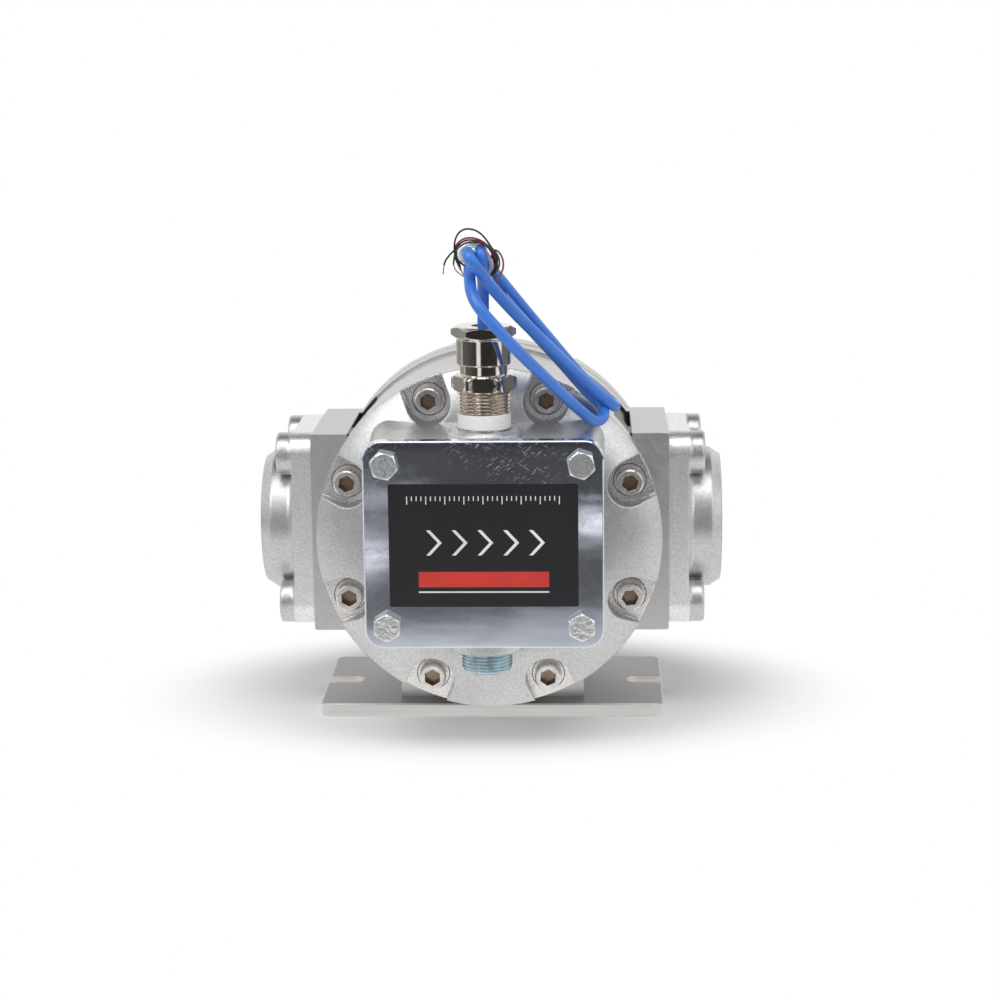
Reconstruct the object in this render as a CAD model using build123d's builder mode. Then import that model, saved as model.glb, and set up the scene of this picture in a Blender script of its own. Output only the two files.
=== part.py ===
from build123d import *
import os
from math import cos, radians, sin, sqrt, tan

os.makedirs("parts", exist_ok=True)

# An oval gear flow meter with a terminal box on its front cover and a base plate.
# Millimetres, +Z up, +X along the flow, -Y towards the terminal box.
# The origin is in the middle of the base plate's underside. The meter axis runs
# along Y above it, and depths below are counted from the middle of the body.

# Clearances
screw_gap = 0.1
counterbore_gap = 0.5
register_gap = 0.1
running_gap = 0.05
pressed_gap = 0.02
gear_side_gap = 0.3
gear_tip_gap = 0.3
cable_gap = 0.4

# Chamfers and hexagons
chamfer_taper = 45.0
hex_sides = 6
hex_turned_taper = 60.0

# Base plate
plate_width = 187.0
plate_depth = 98.5
plate_thickness = 7.4
plate_corner = 5.0
plate_edge_chamfer = 0.8
plate_slot_width = 14.0
plate_slot_length = 20.0
plate_to_axis = 93.6
axis_height = plate_thickness + plate_to_axis
base_screw_radius = 4.0
base_screw_head_radius = 7.8
base_screw_head = 4.4
base_screw_taper = 40.0
base_screw_length = 22.0
base_screw_socket_across = 5.0
base_screw_socket_depth = 2.5
base_screw_span_x = 76.0
base_screw_span_y = 36.0

# Body
body_width = 192.0
body_height = 108.0
body_depth = 85.0
body_half = body_depth / 2
body_chamfer = 0.8
barrel_radius = 91.8
front_rim_thickness = 20.5
rear_rim_thickness = 14.5
waist_radius = 90.0
ear_thickness = 20.2
foot_width = 100.0
foot_depth = 72.0
foot_reach = 50.0

# Oval gears
gear_tip_major = 33.5
gear_tip_minor = 22.3
gear_tooth_count = 30
gear_tooth_depth = 4.2
gear_tip_share = 0.30
gear_root_share = 0.66
chamber_depth = 64.0
chamber_half = chamber_depth / 2
chamber_radius = gear_tip_major + gear_tip_gap
gear_spacing = gear_tip_major + gear_tip_minor + gear_tip_gap
gear_length = chamber_depth - 2 * gear_side_gap
shaft_radius = 8.0
shaft_seat_depth = 12.0
bushing_radius = 11.0
bushing_length = 20.0
gear_relief_radius = 9.2
magnet_radius = 4.0
magnet_length = 5.8
magnet_offset = 20.0

# Covers
cover_radius = 92.2
cover_rim_depth = 59.0
cover_dome_radius = 80.7
cover_dome_depth = 66.6
cover_face_radius = 60.0
cover_face_depth = 72.0
register_radius = 70.0
cover_screw_count = 8
cover_screw_circle_radius = 81.0
cover_screw_turn = 22.5
cover_socket_turns = (15.0, 28.0, 30.0, 20.0, 32.0, 30.0, 24.0, 6.0)
cover_joint_chamfer = 0.5
pocket_radius = 12.0
pocket_floor = 55.0
o_ring_thickness = 3.5
o_ring_groove_width = 4.6

# Socket-head screws of the covers and flanges
cap_head_radius = 7.15
cap_head_height = 9.5
cap_head_chamfer = 0.8
cap_socket_across = 7.94
cap_socket_depth = 5.0
cap_shank_radius = 4.76
cover_screw_length = 25.4
tapped_margin = 1.0

# Flow ports and their flanges
port_radius = 25.4
port_thread_radius = 28.5
port_thread_length = 25.0
flange_width = 80.0
flange_height = 106.0
flange_plate_thickness = 11.0
flange_boss_thickness = 19.5
flange_boss_radius = 11.6
flange_corner = 12.0
flange_reach = 125.0
flange_neck_radius = 38.5
flange_mouth_radius = 34.8
flange_mouth_bevel = 6.0
flange_cast_fillet = 2.0
flange_cast_round = 1.6
flange_neck_fillet = 3.5
flange_counterbore_depth = 10.0
flange_screw_length = 22.0
flange_o_ring_radius = 33.0

# Terminal box on the front cover
box_width = 118.0
box_height = 103.5
box_rise = 11.0
box_corner = 9.0
box_front_depth = 117.0
box_wall = 6.0
box_floor_depth = 76.0
box_skirt = 4.0
box_skirt_depth = 56.0
box_skirt_length = 24.0
box_skirt_taper = 9.5
box_boss_radius = 8.5
hub_depth = 97.0
hub_radius = 19.25
hub_flare = 1.8
hub_top_stand = 3.45
hub_bottom_stand = 8.45
hub_top = box_rise + box_height / 2 + hub_top_stand
hub_bottom = box_height / 2 - box_rise + hub_bottom_stand
hub_root = 30.0
plug_relief_radius = 28.6
plug_relief_stand = 10.8
plug_relief_drop = hub_bottom + plug_relief_stand

# Lid, gasket and label
gasket_thickness = 1.0
lid_overhang = 1.75
lid_width = box_width + 2 * lid_overhang
lid_height = box_height + 2 * lid_overhang
lid_corner = 9.5
lid_thickness = 7.0
lid_edge_chamfer = 0.6
lid_screw_inset_x = 9.6
lid_screw_inset_z = 10.1
lid_screw_width = box_width - 2 * lid_screw_inset_x
lid_screw_height = box_height - 2 * lid_screw_inset_z
lid_screw_across = 13.0
lid_screw_head = 5.4
lid_screw_turned_share = 0.95
lid_screw_turns = (30.0, 46.0, 32.0, 42.0)
lid_screw_radius = 4.0
lid_screw_length = 20.0
label_width = 95.7
label_height = 63.3
label_thickness = 0.4

# Sensors and board inside the terminal box
sensor_radius = 5.0
sensor_gap = 0.15
sensor_wall = 4.0
sensor_stand_proud = 4.0
standoff_radius = 3.5
standoff_length = 8.0
standoff_span_x = 60.0
standoff_span_z = 42.0
board_width = 70.0
board_height = 52.0
board_thickness = 1.6
board_screw_radius = 1.5
board_screw_head_radius = 2.8
board_screw_head = 1.8
board_screw_length = 6.0
terminal_width = 50.0
terminal_height = 12.0
terminal_depth = 10.0
terminal_rise = 12.0
terminal_count = 8
terminal_mouth = 4.0
terminal_mouth_depth = 5.0
lead_radius = 0.8
lead_count = 4
lead_spread = 6.0
lead_bundle = 1.2

# Cable gland, thread tape and plug
pipe_thread_radius = 13.45
plug_radius = 13.15
plug_stand = 12.0
plug_reach = hub_bottom + plug_stand
plug_length = 20.0
plug_chamfer = 1.2
plug_socket_across = 14.0
plug_socket_depth = 8.0
gland_engagement = 13.0
tape_height = 6.3
tape_thickness = 0.45
gland_thread_show = 11.0
gland_hex_across = 29.2
gland_hex_height = 9.4
gland_hex_turned_share = 0.96
gland_sleeve_radius = 12.2
gland_sleeve_height = 6.5
gland_cap_radius = 13.9
gland_cap_height = 13.7
gland_cap_chamfer = 0.6
gland_nut_across = 28.8
gland_nut_height = 6.0
gland_bore_radius = 8.0
gland_tail_radius = 5.0
gland_seal_length = 14.0
gland_seal_inset = 1.0
gland_mouth_radius = 6.2
gland_mouth_depth = 3.0

# Signal cable
cable_radius = 3.0
cable_inside_end = 47.0
bend_share = 0.45
cable_route = [(0.0, 0.0, 0.0), (0.0, 0.0, 11.0), (-0.6, -1.2, 22.0), (-2.0, -6.0, 32.0)]
hank_top = (-4.0, -114.0, 154.5)
hank_bow = (9.0, -121.8, 116.0)
hank_foot = (60.0, -78.5, 77.5)
hank_top_radius = 8.5
hank_bow_radius = 4.0
hank_foot_radius = 11.5
hank_thickness = 10.0
hank_edge = 4.0
wire_ring_centre = (-1.7, -103.0, 156.0)
wire_ring_radius = 12.4
wire_bundle_radius = 1.2
wire_ring_start = 165.0
wire_ring_turn = -210.0

cover_screw_step = 360 / cover_screw_count
cover_screw_angles = [cover_screw_turn + cover_screw_step * k for k in range(cover_screw_count)]
cover_screw_points = [
    (cover_screw_circle_radius * cos(radians(angle)), cover_screw_circle_radius * sin(radians(angle)))
    for angle in cover_screw_angles
]
flange_screw_x = flange_width / 2 - flange_corner
flange_screw_z = flange_height / 2 - flange_corner
flange_screw_points = [
    (x, z) for x in (-flange_screw_x, flange_screw_x) for z in (-flange_screw_z, flange_screw_z)
]
gear_heights = {"upper": gear_spacing / 2, "lower": -gear_spacing / 2}
base_screw_points = [
    (side * base_screw_span_x / 2, end * base_screw_span_y / 2) for side in (-1, 1) for end in (-1, 1)
]


def front(depth):
    """Plane that faces the front, `depth` before the middle of the body."""
    return Plane(origin=(0, -depth, axis_height), x_dir=(1, 0, 0), z_dir=(0, -1, 0))


def rear(depth):
    """Plane that faces the rear, `depth` behind the middle of the body."""
    return Plane(origin=(0, depth, axis_height), x_dir=(-1, 0, 0), z_dir=(0, 1, 0))


def outlet(reach):
    """Plane across the flow that faces the outlet."""
    return Plane(origin=(reach, 0, axis_height), x_dir=(0, 1, 0), z_dir=(1, 0, 0))


def inlet(reach):
    """Plane across the flow that faces the inlet."""
    return Plane(origin=(-reach, 0, axis_height), x_dir=(0, -1, 0), z_dir=(-1, 0, 0))


def level(height, depth=0.0):
    """Horizontal plane at a height over the meter axis, `depth` before the body's middle."""
    return Plane(origin=(0, -depth, axis_height + height), x_dir=(1, 0, 0), z_dir=(0, 0, 1))


def cap_screw(length):
    """Socket-head screw that stands on XY, with its shank going down."""
    with BuildPart() as screw:
        with BuildSketch(Plane.XY):
            Circle(cap_head_radius)
        extrude(amount=cap_head_height - cap_head_chamfer)
        with BuildSketch(Plane.XY.offset(cap_head_height - cap_head_chamfer)):
            Circle(cap_head_radius)
        extrude(amount=cap_head_chamfer, taper=chamfer_taper)
        with BuildSketch(Plane.XY):
            Circle(cap_shank_radius)
        extrude(amount=-length)
        with BuildSketch(Plane.XY.offset(cap_head_height)):
            RegularPolygon(cap_socket_across / 2, hex_sides, major_radius=False)
        extrude(amount=-cap_socket_depth, mode=Mode.SUBTRACT)
    return screw.part


def hex_head(across, height, turned_share, turned_ends):
    """Hexagon on XY whose corners are turned off at its top, or at both ends.

    `turned_share` is the turned face's width over the hexagon's width across its flats.
    """
    with BuildPart() as head:
        with BuildSketch(Plane.XY):
            RegularPolygon(across / 2, hex_sides, major_radius=False)
        extrude(amount=height)
        for end in turned_ends:
            with BuildSketch(Plane.XY.offset(end * height)):
                Circle(across / 2 * turned_share)
            extrude(amount=(1 - 2 * end) * height, taper=-hex_turned_taper, mode=Mode.INTERSECT)
    return head.part


# Base plate: open slots in both ends, and countersunk screws from below
with BuildPart() as base_plate:
    with BuildSketch(Plane.XY):
        RectangleRounded(plate_width, plate_depth, plate_corner)
    extrude(amount=plate_thickness)
    chamfer(base_plate.faces().sort_by(Axis.Z)[-1].edges(), plate_edge_chamfer)
    with BuildSketch(Plane.XY):
        for end in (-1, 1):
            with Locations((end * (plate_width / 2 - plate_slot_length + plate_slot_width / 2), 0)):
                Circle(plate_slot_width / 2)
            with Locations((end * (plate_width / 2 - plate_slot_length / 2 + plate_slot_width / 4), 0)):
                Rectangle(plate_slot_length - plate_slot_width / 2, plate_slot_width)
    extrude(amount=plate_thickness, mode=Mode.SUBTRACT)
    with BuildSketch(Plane.XY):
        with Locations(*base_screw_points):
            Circle(base_screw_radius + screw_gap)
    extrude(amount=plate_thickness, mode=Mode.SUBTRACT)
    with BuildSketch(Plane.XY):
        with Locations(*base_screw_points):
            Circle(base_screw_head_radius + screw_gap)
    extrude(amount=base_screw_head, taper=base_screw_taper, mode=Mode.SUBTRACT)
base_plate.part.label = "base_plate"
export_step(base_plate.part, "parts/base_plate.step")

with BuildPart() as base_screws:
    with BuildSketch(Plane.XY):
        with Locations(*base_screw_points):
            Circle(base_screw_head_radius)
    extrude(amount=base_screw_head, taper=base_screw_taper)
    with BuildSketch(Plane.XY):
        with Locations(*base_screw_points):
            Circle(base_screw_radius)
    extrude(amount=base_screw_length)
    with BuildSketch(Plane.XY):
        with Locations(*base_screw_points):
            RegularPolygon(base_screw_socket_across / 2, hex_sides, major_radius=False)
    extrude(amount=base_screw_socket_depth, mode=Mode.SUBTRACT)
base_screws.part.label = "base_screws"
export_step(base_screws.part, "parts/base_screws.step")

# Body: a waisted barrel between two full rims, with square ears that carry the ports
rims = ((front(body_half), front_rim_thickness), (rear(body_half), rear_rim_thickness))
with BuildPart() as body:
    with BuildSketch(rear(body_half)):
        Circle(waist_radius)
        for side in (-1, 1):
            with Locations((side * (body_width - ear_thickness) / 2, 0)):
                Rectangle(ear_thickness, body_height)
    extrude(amount=-body_depth)
    for face, rim_thickness in rims:
        with BuildSketch(face):
            Circle(barrel_radius)
            Rectangle(body_width, body_height)
        extrude(amount=-rim_thickness)
    side_edges = body.edges().filter_by(Axis.Y).group_by(Axis.X)
    chamfer(side_edges[0] + side_edges[-1], body_chamfer)
    with BuildSketch(Plane.XY.offset(plate_thickness)):
        Rectangle(foot_width, foot_depth)
    extrude(amount=plate_to_axis - foot_reach)
    with BuildSketch(front(chamber_half)):
        with Locations(*[(0, height) for height in gear_heights.values()]):
            Circle(chamber_radius)
    extrude(amount=-chamber_depth, mode=Mode.SUBTRACT)
    for face in (front(body_half), rear(body_half)):
        with BuildSketch(face):
            Circle(register_radius + register_gap)
        extrude(amount=-(body_half - chamber_half), mode=Mode.SUBTRACT)
        with BuildSketch(face):
            with Locations(*cover_screw_points):
                Circle(cap_shank_radius + screw_gap)
        cover_grip = pocket_floor - body_half
        extrude(amount=-(cover_screw_length - cover_grip + tapped_margin), mode=Mode.SUBTRACT)
    with BuildSketch(outlet(body_width / 2)):
        Circle(port_radius)
    extrude(amount=-body_width, mode=Mode.SUBTRACT)
    for face in (outlet(body_width / 2), inlet(body_width / 2)):
        with BuildSketch(face):
            with Locations(*flange_screw_points):
                Circle(cap_shank_radius + screw_gap)
        flange_grip = flange_boss_thickness - flange_counterbore_depth
        extrude(amount=-(flange_screw_length - flange_grip + tapped_margin), mode=Mode.SUBTRACT)
    with BuildSketch(Plane.XY.offset(plate_thickness)):
        with Locations(*base_screw_points):
            Circle(base_screw_radius + screw_gap)
    extrude(amount=base_screw_length - plate_thickness + tapped_margin, mode=Mode.SUBTRACT)
body.part.label = "body"
export_step(body.part, "parts/body.step")


def cover_form(outward):
    """Cast cover: register, rim and dome turned about the meter axis, with screw pockets.

    `outward` gives the plane that faces away from the body at a depth.
    """
    out = outward(1.0).z_dir
    section = Plane(origin=(0, 0, axis_height), x_dir=(1, 0, 0), z_dir=Vector(1, 0, 0).cross(out))
    spigot = register_radius
    with BuildPart() as cover:
        with BuildSketch(section):
            with BuildLine():
                Polyline(
                    (0, cover_face_depth),
                    (0, chamber_half),
                    (spigot, chamber_half),
                    (spigot, body_half),
                    (cover_radius - cover_joint_chamfer, body_half),
                    (cover_radius, body_half + cover_joint_chamfer),
                    (cover_radius, cover_rim_depth),
                )
                ThreePointArc(
                    (cover_radius, cover_rim_depth),
                    (cover_dome_radius, cover_dome_depth),
                    (cover_face_radius, cover_face_depth),
                )
                Line((cover_face_radius, cover_face_depth), (0, cover_face_depth))
            make_face()
        revolve(axis=Axis((0, 0, axis_height), (0, 1, 0)))
        with BuildSketch(outward((chamber_half + body_half + o_ring_groove_width) / 2)):
            Circle(register_radius + register_gap)
            Circle(o_ring_seat_radius, mode=Mode.SUBTRACT)
        extrude(amount=-o_ring_groove_width, mode=Mode.SUBTRACT)
        with BuildSketch(outward(chamber_half)):
            with Locations(*[(0, height) for height in gear_heights.values()]):
                Circle(shaft_radius + pressed_gap)
        extrude(amount=shaft_seat_depth, mode=Mode.SUBTRACT)
    return cover.part


def screw_pocket_cut():
    """Pockets open to the rim, with a round inner end about each screw, cut from a depth outwards."""
    with PolarLocations(cover_screw_circle_radius, cover_screw_count, start_angle=cover_screw_turn):
        Circle(pocket_radius)
        Rectangle(cover_radius, 2 * pocket_radius, align=(Align.MIN, Align.CENTER))


o_ring_seat_radius = register_radius + register_gap - o_ring_thickness - 2 * pressed_gap

# Rear cover
rear_form = cover_form(rear)
with BuildPart() as rear_cover:
    add(rear_form)
    with BuildSketch(rear(pocket_floor)):
        screw_pocket_cut()
    extrude(amount=cover_face_depth, mode=Mode.SUBTRACT)
    with BuildSketch(rear(pocket_floor)):
        with Locations(*cover_screw_points):
            Circle(cap_shank_radius + screw_gap)
    extrude(amount=-(pocket_floor - body_half), mode=Mode.SUBTRACT)
rear_cover.part.label = "rear_cover"
export_step(rear_cover.part, "parts/rear_cover.step")

# Front cover: the same casting with the terminal box, two conduit hubs and sensor wells
front_form = cover_form(front)
box_centre = (0, box_rise)
lid_screw_points = [
    (side * lid_screw_width / 2, box_rise + rise * lid_screw_height / 2)
    for side in (-1, 1)
    for rise in (-1, 1)
]
sensor_points = [(x, gear_heights["upper"]) for x in (-magnet_offset, magnet_offset)]
standoff_points = [
    (side * standoff_span_x / 2, box_rise + rise * standoff_span_z / 2)
    for side in (-1, 1)
    for rise in (-1, 1)
]

with BuildPart() as front_cover:
    add(front_form)
    with BuildSketch(front(box_skirt_depth)):
        with Locations(box_centre):
            RectangleRounded(box_width + 2 * box_skirt, box_height + 2 * box_skirt, box_corner + box_skirt)
    extrude(amount=box_skirt_length, taper=box_skirt_taper)
    with BuildSketch(front(pocket_floor)):
        screw_pocket_cut()
    extrude(amount=box_front_depth, mode=Mode.SUBTRACT)
    with Locations((0, -hub_depth, axis_height - plug_relief_drop)):
        Sphere(plug_relief_radius, mode=Mode.SUBTRACT)
    with BuildSketch(front(box_skirt_depth)):
        with Locations(box_centre):
            RectangleRounded(box_width, box_height, box_corner)
    extrude(amount=box_front_depth - box_skirt_depth)
    with BuildSketch(level(hub_top - hub_flare, hub_depth)):
        Circle(hub_radius)
    extrude(amount=-(hub_top - hub_root))
    with BuildSketch(level(hub_top - hub_flare, hub_depth)):
        Circle(hub_radius)
    extrude(amount=hub_flare, taper=chamfer_taper)
    with BuildSketch(level(-hub_bottom, hub_depth)):
        Circle(hub_radius)
    extrude(amount=hub_bottom - hub_root)
    with BuildSketch(front(box_front_depth)):
        with Locations(box_centre):
            RectangleRounded(box_width - 2 * box_wall, box_height - 2 * box_wall, box_corner - box_wall / 2)
    extrude(amount=-(box_front_depth - box_floor_depth), mode=Mode.SUBTRACT)
    with BuildSketch(front(box_front_depth)):
        with Locations(*lid_screw_points):
            Circle(box_boss_radius)
    extrude(amount=-(box_front_depth - box_floor_depth))
    with BuildSketch(front(box_front_depth)):
        with Locations(*lid_screw_points):
            Circle(lid_screw_radius + screw_gap)
    lid_screw_bite = lid_screw_length - lid_thickness - gasket_thickness
    extrude(amount=-(lid_screw_bite + tapped_margin), mode=Mode.SUBTRACT)
    with BuildSketch(level(hub_top, hub_depth)):
        Circle(pipe_thread_radius + screw_gap)
    extrude(amount=-(hub_top - hub_root), mode=Mode.SUBTRACT)
    with BuildSketch(level(-hub_bottom, hub_depth)):
        Circle(plug_radius + screw_gap)
    extrude(amount=hub_bottom - hub_root, mode=Mode.SUBTRACT)
    with BuildSketch(front(pocket_floor)):
        with Locations(*cover_screw_points):
            Circle(cap_shank_radius + screw_gap)
    extrude(amount=-(pocket_floor - body_half), mode=Mode.SUBTRACT)
    with BuildSketch(front(box_floor_depth)):
        with Locations(*sensor_points):
            Circle(sensor_radius + sensor_gap)
    extrude(amount=-(box_floor_depth - chamber_half - sensor_wall), mode=Mode.SUBTRACT)
front_cover.part.label = "front_cover"
export_step(front_cover.part, "parts/front_cover.step")

# Cover screws and the ring seals of the covers
cover_screw = cap_screw(cover_screw_length)
for name, outward in (("front", front), ("rear", rear)):
    with BuildPart(outward(pocket_floor)) as cover_screws:
        for point, socket_turn in zip(cover_screw_points, cover_socket_turns):
            with Locations(point):
                add(cover_screw, rotation=(0, 0, socket_turn))
    cover_screws.part.label = f"{name}_cover_screws"
    export_step(cover_screws.part, f"parts/{name}_cover_screws.step")
    ring_radius = o_ring_seat_radius + o_ring_thickness / 2 + pressed_gap
    with BuildPart(outward((chamber_half + body_half) / 2)) as cover_o_ring:
        Torus(ring_radius, o_ring_thickness / 2)
    cover_o_ring.part.label = f"{name}_cover_o_ring"
    export_step(cover_o_ring.part, f"parts/{name}_cover_o_ring.step")

def cast_stud(radius, height, top_round, base, root_fillet):
    """Round boss on XY, with a rounded top edge and a fillet down to a plate `base` thick."""
    top_turn = top_round * (1 - sqrt(0.5))
    root_turn = root_fillet * (1 - sqrt(0.5))
    with BuildPart() as stud:
        with BuildSketch(Plane.XZ):
            with BuildLine():
                Polyline(
                    (radius + root_fillet, base),
                    (radius + root_fillet, 0),
                    (0, 0),
                    (0, height),
                    (radius - top_round, height),
                )
                ThreePointArc(
                    (radius - top_round, height),
                    (radius - top_turn, height - top_turn),
                    (radius, height - top_round),
                )
                Line((radius, height - top_round), (radius, base + root_fillet))
                ThreePointArc(
                    (radius, base + root_fillet),
                    (radius + root_turn, base + root_turn),
                    (radius + root_fillet, base),
                )
            make_face()
        revolve(axis=Axis.Z)
    return stud.part


# Port flanges: a plate with corner bosses and a bevelled neck, all with cast fillets, kept
# inside the plate's outline, and a threaded mouth
flange_screw = cap_screw(flange_screw_length)
flange_seat = body_width / 2
boss_face = flange_seat + flange_boss_thickness
neck_length = flange_reach - flange_mouth_bevel - flange_seat
bevel_taper = Vector(flange_mouth_bevel, flange_neck_radius - flange_mouth_radius).get_angle(Vector(1, 0))
flange_boss = cast_stud(
    flange_boss_radius,
    flange_boss_thickness,
    flange_cast_round,
    flange_plate_thickness,
    flange_cast_fillet,
)
flange_neck = cast_stud(
    flange_neck_radius,
    neck_length + flange_cast_round,
    flange_cast_round,
    flange_plate_thickness,
    flange_neck_fillet,
)
for name, outward in (("inlet", inlet), ("outlet", outlet)):
    with BuildPart(outward(flange_seat)) as flange:
        add(flange_neck)
        with Locations(*flange_screw_points):
            add(flange_boss)
        with BuildSketch(outward(flange_seat)):
            RectangleRounded(flange_width, flange_height, flange_corner)
        extrude(amount=flange_plate_thickness)
        with BuildSketch(outward(flange_seat)):
            RectangleRounded(flange_width, flange_height, flange_corner)
        extrude(amount=flange_reach, mode=Mode.INTERSECT)
        with BuildSketch(outward(flange_seat + neck_length)):
            Circle(flange_neck_radius)
        extrude(amount=flange_mouth_bevel, taper=bevel_taper)
        with BuildSketch(outward(flange_reach)):
            Circle(port_radius)
        extrude(amount=-(flange_reach - flange_seat), mode=Mode.SUBTRACT)
        with BuildSketch(outward(flange_reach)):
            Circle(port_thread_radius)
        extrude(amount=-port_thread_length, mode=Mode.SUBTRACT)
        with BuildSketch(outward(flange_seat)):
            with Locations(*flange_screw_points):
                Circle(cap_shank_radius + screw_gap)
        extrude(amount=flange_boss_thickness, mode=Mode.SUBTRACT)
        with BuildSketch(outward(boss_face)):
            with Locations(*flange_screw_points):
                Circle(cap_head_radius + counterbore_gap)
        extrude(amount=-flange_counterbore_depth, mode=Mode.SUBTRACT)
        with BuildSketch(outward(flange_seat)):
            Circle(flange_o_ring_radius + o_ring_thickness / 2 + pressed_gap)
            Circle(flange_o_ring_radius - o_ring_thickness / 2 - pressed_gap, mode=Mode.SUBTRACT)
        extrude(amount=o_ring_thickness + 2 * pressed_gap, mode=Mode.SUBTRACT)
    flange.part.label = f"{name}_flange"
    export_step(flange.part, f"parts/{name}_flange.step")

    with BuildPart(outward(boss_face - flange_counterbore_depth)) as flange_screws:
        with Locations(*flange_screw_points):
            add(flange_screw)
    flange_screws.part.label = f"{name}_flange_screws"
    export_step(flange_screws.part, f"parts/{name}_flange_screws.step")

    with BuildPart(outward(flange_seat + o_ring_thickness / 2 + pressed_gap)) as flange_o_ring:
        Torus(flange_o_ring_radius, o_ring_thickness / 2)
    flange_o_ring.part.label = f"{name}_flange_o_ring"
    export_step(flange_o_ring.part, f"parts/{name}_flange_o_ring.step")


def oval_gear_outline(turn):
    """Closed outline of an oval gear, with its teeth at equal steps along the oval of their tips."""
    oval = Edge.make_ellipse(gear_tip_major, gear_tip_minor)
    step = 1 / gear_tooth_count
    points = []
    for tooth in range(gear_tooth_count):
        for share, depth in (
            (-gear_root_share, gear_tooth_depth),
            (-gear_tip_share, 0),
            (gear_tip_share, 0),
            (gear_root_share, gear_tooth_depth),
        ):
            station = ((tooth + share / 2) * step) % 1
            inward = (oval % station).rotate(Axis.Z, 90)
            points.append((oval @ station + inward * depth).rotate(Axis.Z, turn))
    return points


# Oval gears: the lower one stands on end, so that its tip meets the flank of the upper one
gear_turns = {"upper": 0, "lower": 90}
for name, height in gear_heights.items():
    turn = gear_turns[name]
    gear_front = gear_length / 2
    with BuildPart() as oval_gear:
        with BuildSketch(front(gear_front)):
            with BuildLine():
                outline = [(point.X, point.Y + height) for point in oval_gear_outline(turn)]
                Polyline(*outline, close=True)
            make_face()
        extrude(amount=-gear_length)
        with BuildSketch(front(gear_front)):
            with Locations((0, height)):
                Circle(gear_relief_radius)
        extrude(amount=-gear_length, mode=Mode.SUBTRACT)
        for depth in (gear_front, bushing_length - gear_front):
            with BuildSketch(front(depth)):
                with Locations((0, height)):
                    Circle(bushing_radius + pressed_gap)
            extrude(amount=-bushing_length, mode=Mode.SUBTRACT)
        if name == "upper":
            with BuildSketch(front(gear_front)):
                with Locations(*sensor_points):
                    Circle(magnet_radius + pressed_gap)
            extrude(amount=-(magnet_length + pressed_gap), mode=Mode.SUBTRACT)
    oval_gear.part.label = f"{name}_oval_gear"
    export_step(oval_gear.part, f"parts/{name}_oval_gear.step")

    with BuildPart() as gear_bushings:
        for depth in (gear_front, bushing_length - gear_front):
            with BuildSketch(front(depth)):
                with Locations((0, height)):
                    Circle(bushing_radius)
                    Circle(shaft_radius + running_gap, mode=Mode.SUBTRACT)
            extrude(amount=-bushing_length)
    gear_bushings.part.label = f"{name}_gear_bushings"
    export_step(gear_bushings.part, f"parts/{name}_gear_bushings.step")

    shaft_half = chamber_half + shaft_seat_depth - pressed_gap
    with BuildPart() as shaft:
        with BuildSketch(front(shaft_half)):
            with Locations((0, height)):
                Circle(shaft_radius)
        extrude(amount=-2 * shaft_half)
    shaft.part.label = f"{name}_shaft"
    export_step(shaft.part, f"parts/{name}_shaft.step")

with BuildPart() as gear_magnets:
    with BuildSketch(front(gear_length / 2)):
        with Locations(*sensor_points):
            Circle(magnet_radius)
    extrude(amount=-magnet_length)
gear_magnets.part.label = "gear_magnets"
export_step(gear_magnets.part, "parts/gear_magnets.step")

# Lid, gasket, label and hexagon screws of the terminal box
lid_back = box_front_depth + gasket_thickness
lid_front = lid_back + lid_thickness

with BuildPart() as lid_gasket:
    with BuildSketch(front(box_front_depth)):
        with Locations(box_centre):
            RectangleRounded(box_width, box_height, box_corner)
            inner_width = box_width - 2 * box_wall
            inner_height = box_height - 2 * box_wall
            RectangleRounded(inner_width, inner_height, box_corner - box_wall / 2, mode=Mode.SUBTRACT)
        with Locations(*lid_screw_points):
            Circle(box_boss_radius)
        with Locations(*lid_screw_points):
            Circle(lid_screw_radius + screw_gap, mode=Mode.SUBTRACT)
    extrude(amount=gasket_thickness)
lid_gasket.part.label = "lid_gasket"
export_step(lid_gasket.part, "parts/lid_gasket.step")

with BuildPart() as box_lid:
    with BuildSketch(front(lid_back)):
        with Locations(box_centre):
            RectangleRounded(lid_width, lid_height, lid_corner)
    extrude(amount=lid_thickness)
    chamfer(box_lid.faces().sort_by(Axis.Y)[0].edges(), lid_edge_chamfer)
    with BuildSketch(front(lid_back)):
        with Locations(*lid_screw_points):
            Circle(lid_screw_radius + screw_gap)
    extrude(amount=lid_thickness, mode=Mode.SUBTRACT)
box_lid.part.label = "box_lid"
export_step(box_lid.part, "parts/box_lid.step")

lid_screw_head_form = hex_head(lid_screw_across, lid_screw_head, lid_screw_turned_share, (1,))
with BuildPart(front(lid_front)) as lid_screws:
    for point, head_turn in zip(lid_screw_points, lid_screw_turns):
        with Locations(point):
            add(lid_screw_head_form, rotation=(0, 0, head_turn))
    with BuildSketch(front(lid_front)):
        with Locations(*lid_screw_points):
            Circle(lid_screw_radius)
    extrude(amount=-lid_screw_length)
lid_screws.part.label = "lid_screws"
export_step(lid_screws.part, "parts/lid_screws.step")

with BuildPart() as lid_label:
    with BuildSketch(front(lid_front)):
        with Locations(box_centre):
            Rectangle(label_width, label_height)
    extrude(amount=label_thickness)
lid_label.part.label = "lid_label"
export_step(lid_label.part, "parts/lid_label.step")

# Pulse sensors in their wells, and the board with its terminal block
with BuildPart() as pulse_sensors:
    with BuildSketch(front(box_floor_depth + sensor_stand_proud)):
        with Locations(*sensor_points):
            Circle(sensor_radius)
    well_length = box_floor_depth - chamber_half - sensor_wall
    extrude(amount=-(well_length + sensor_stand_proud))
pulse_sensors.part.label = "pulse_sensors"
export_step(pulse_sensors.part, "parts/pulse_sensors.step")

board_back = box_floor_depth + standoff_length
board_front = board_back + board_thickness

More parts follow.
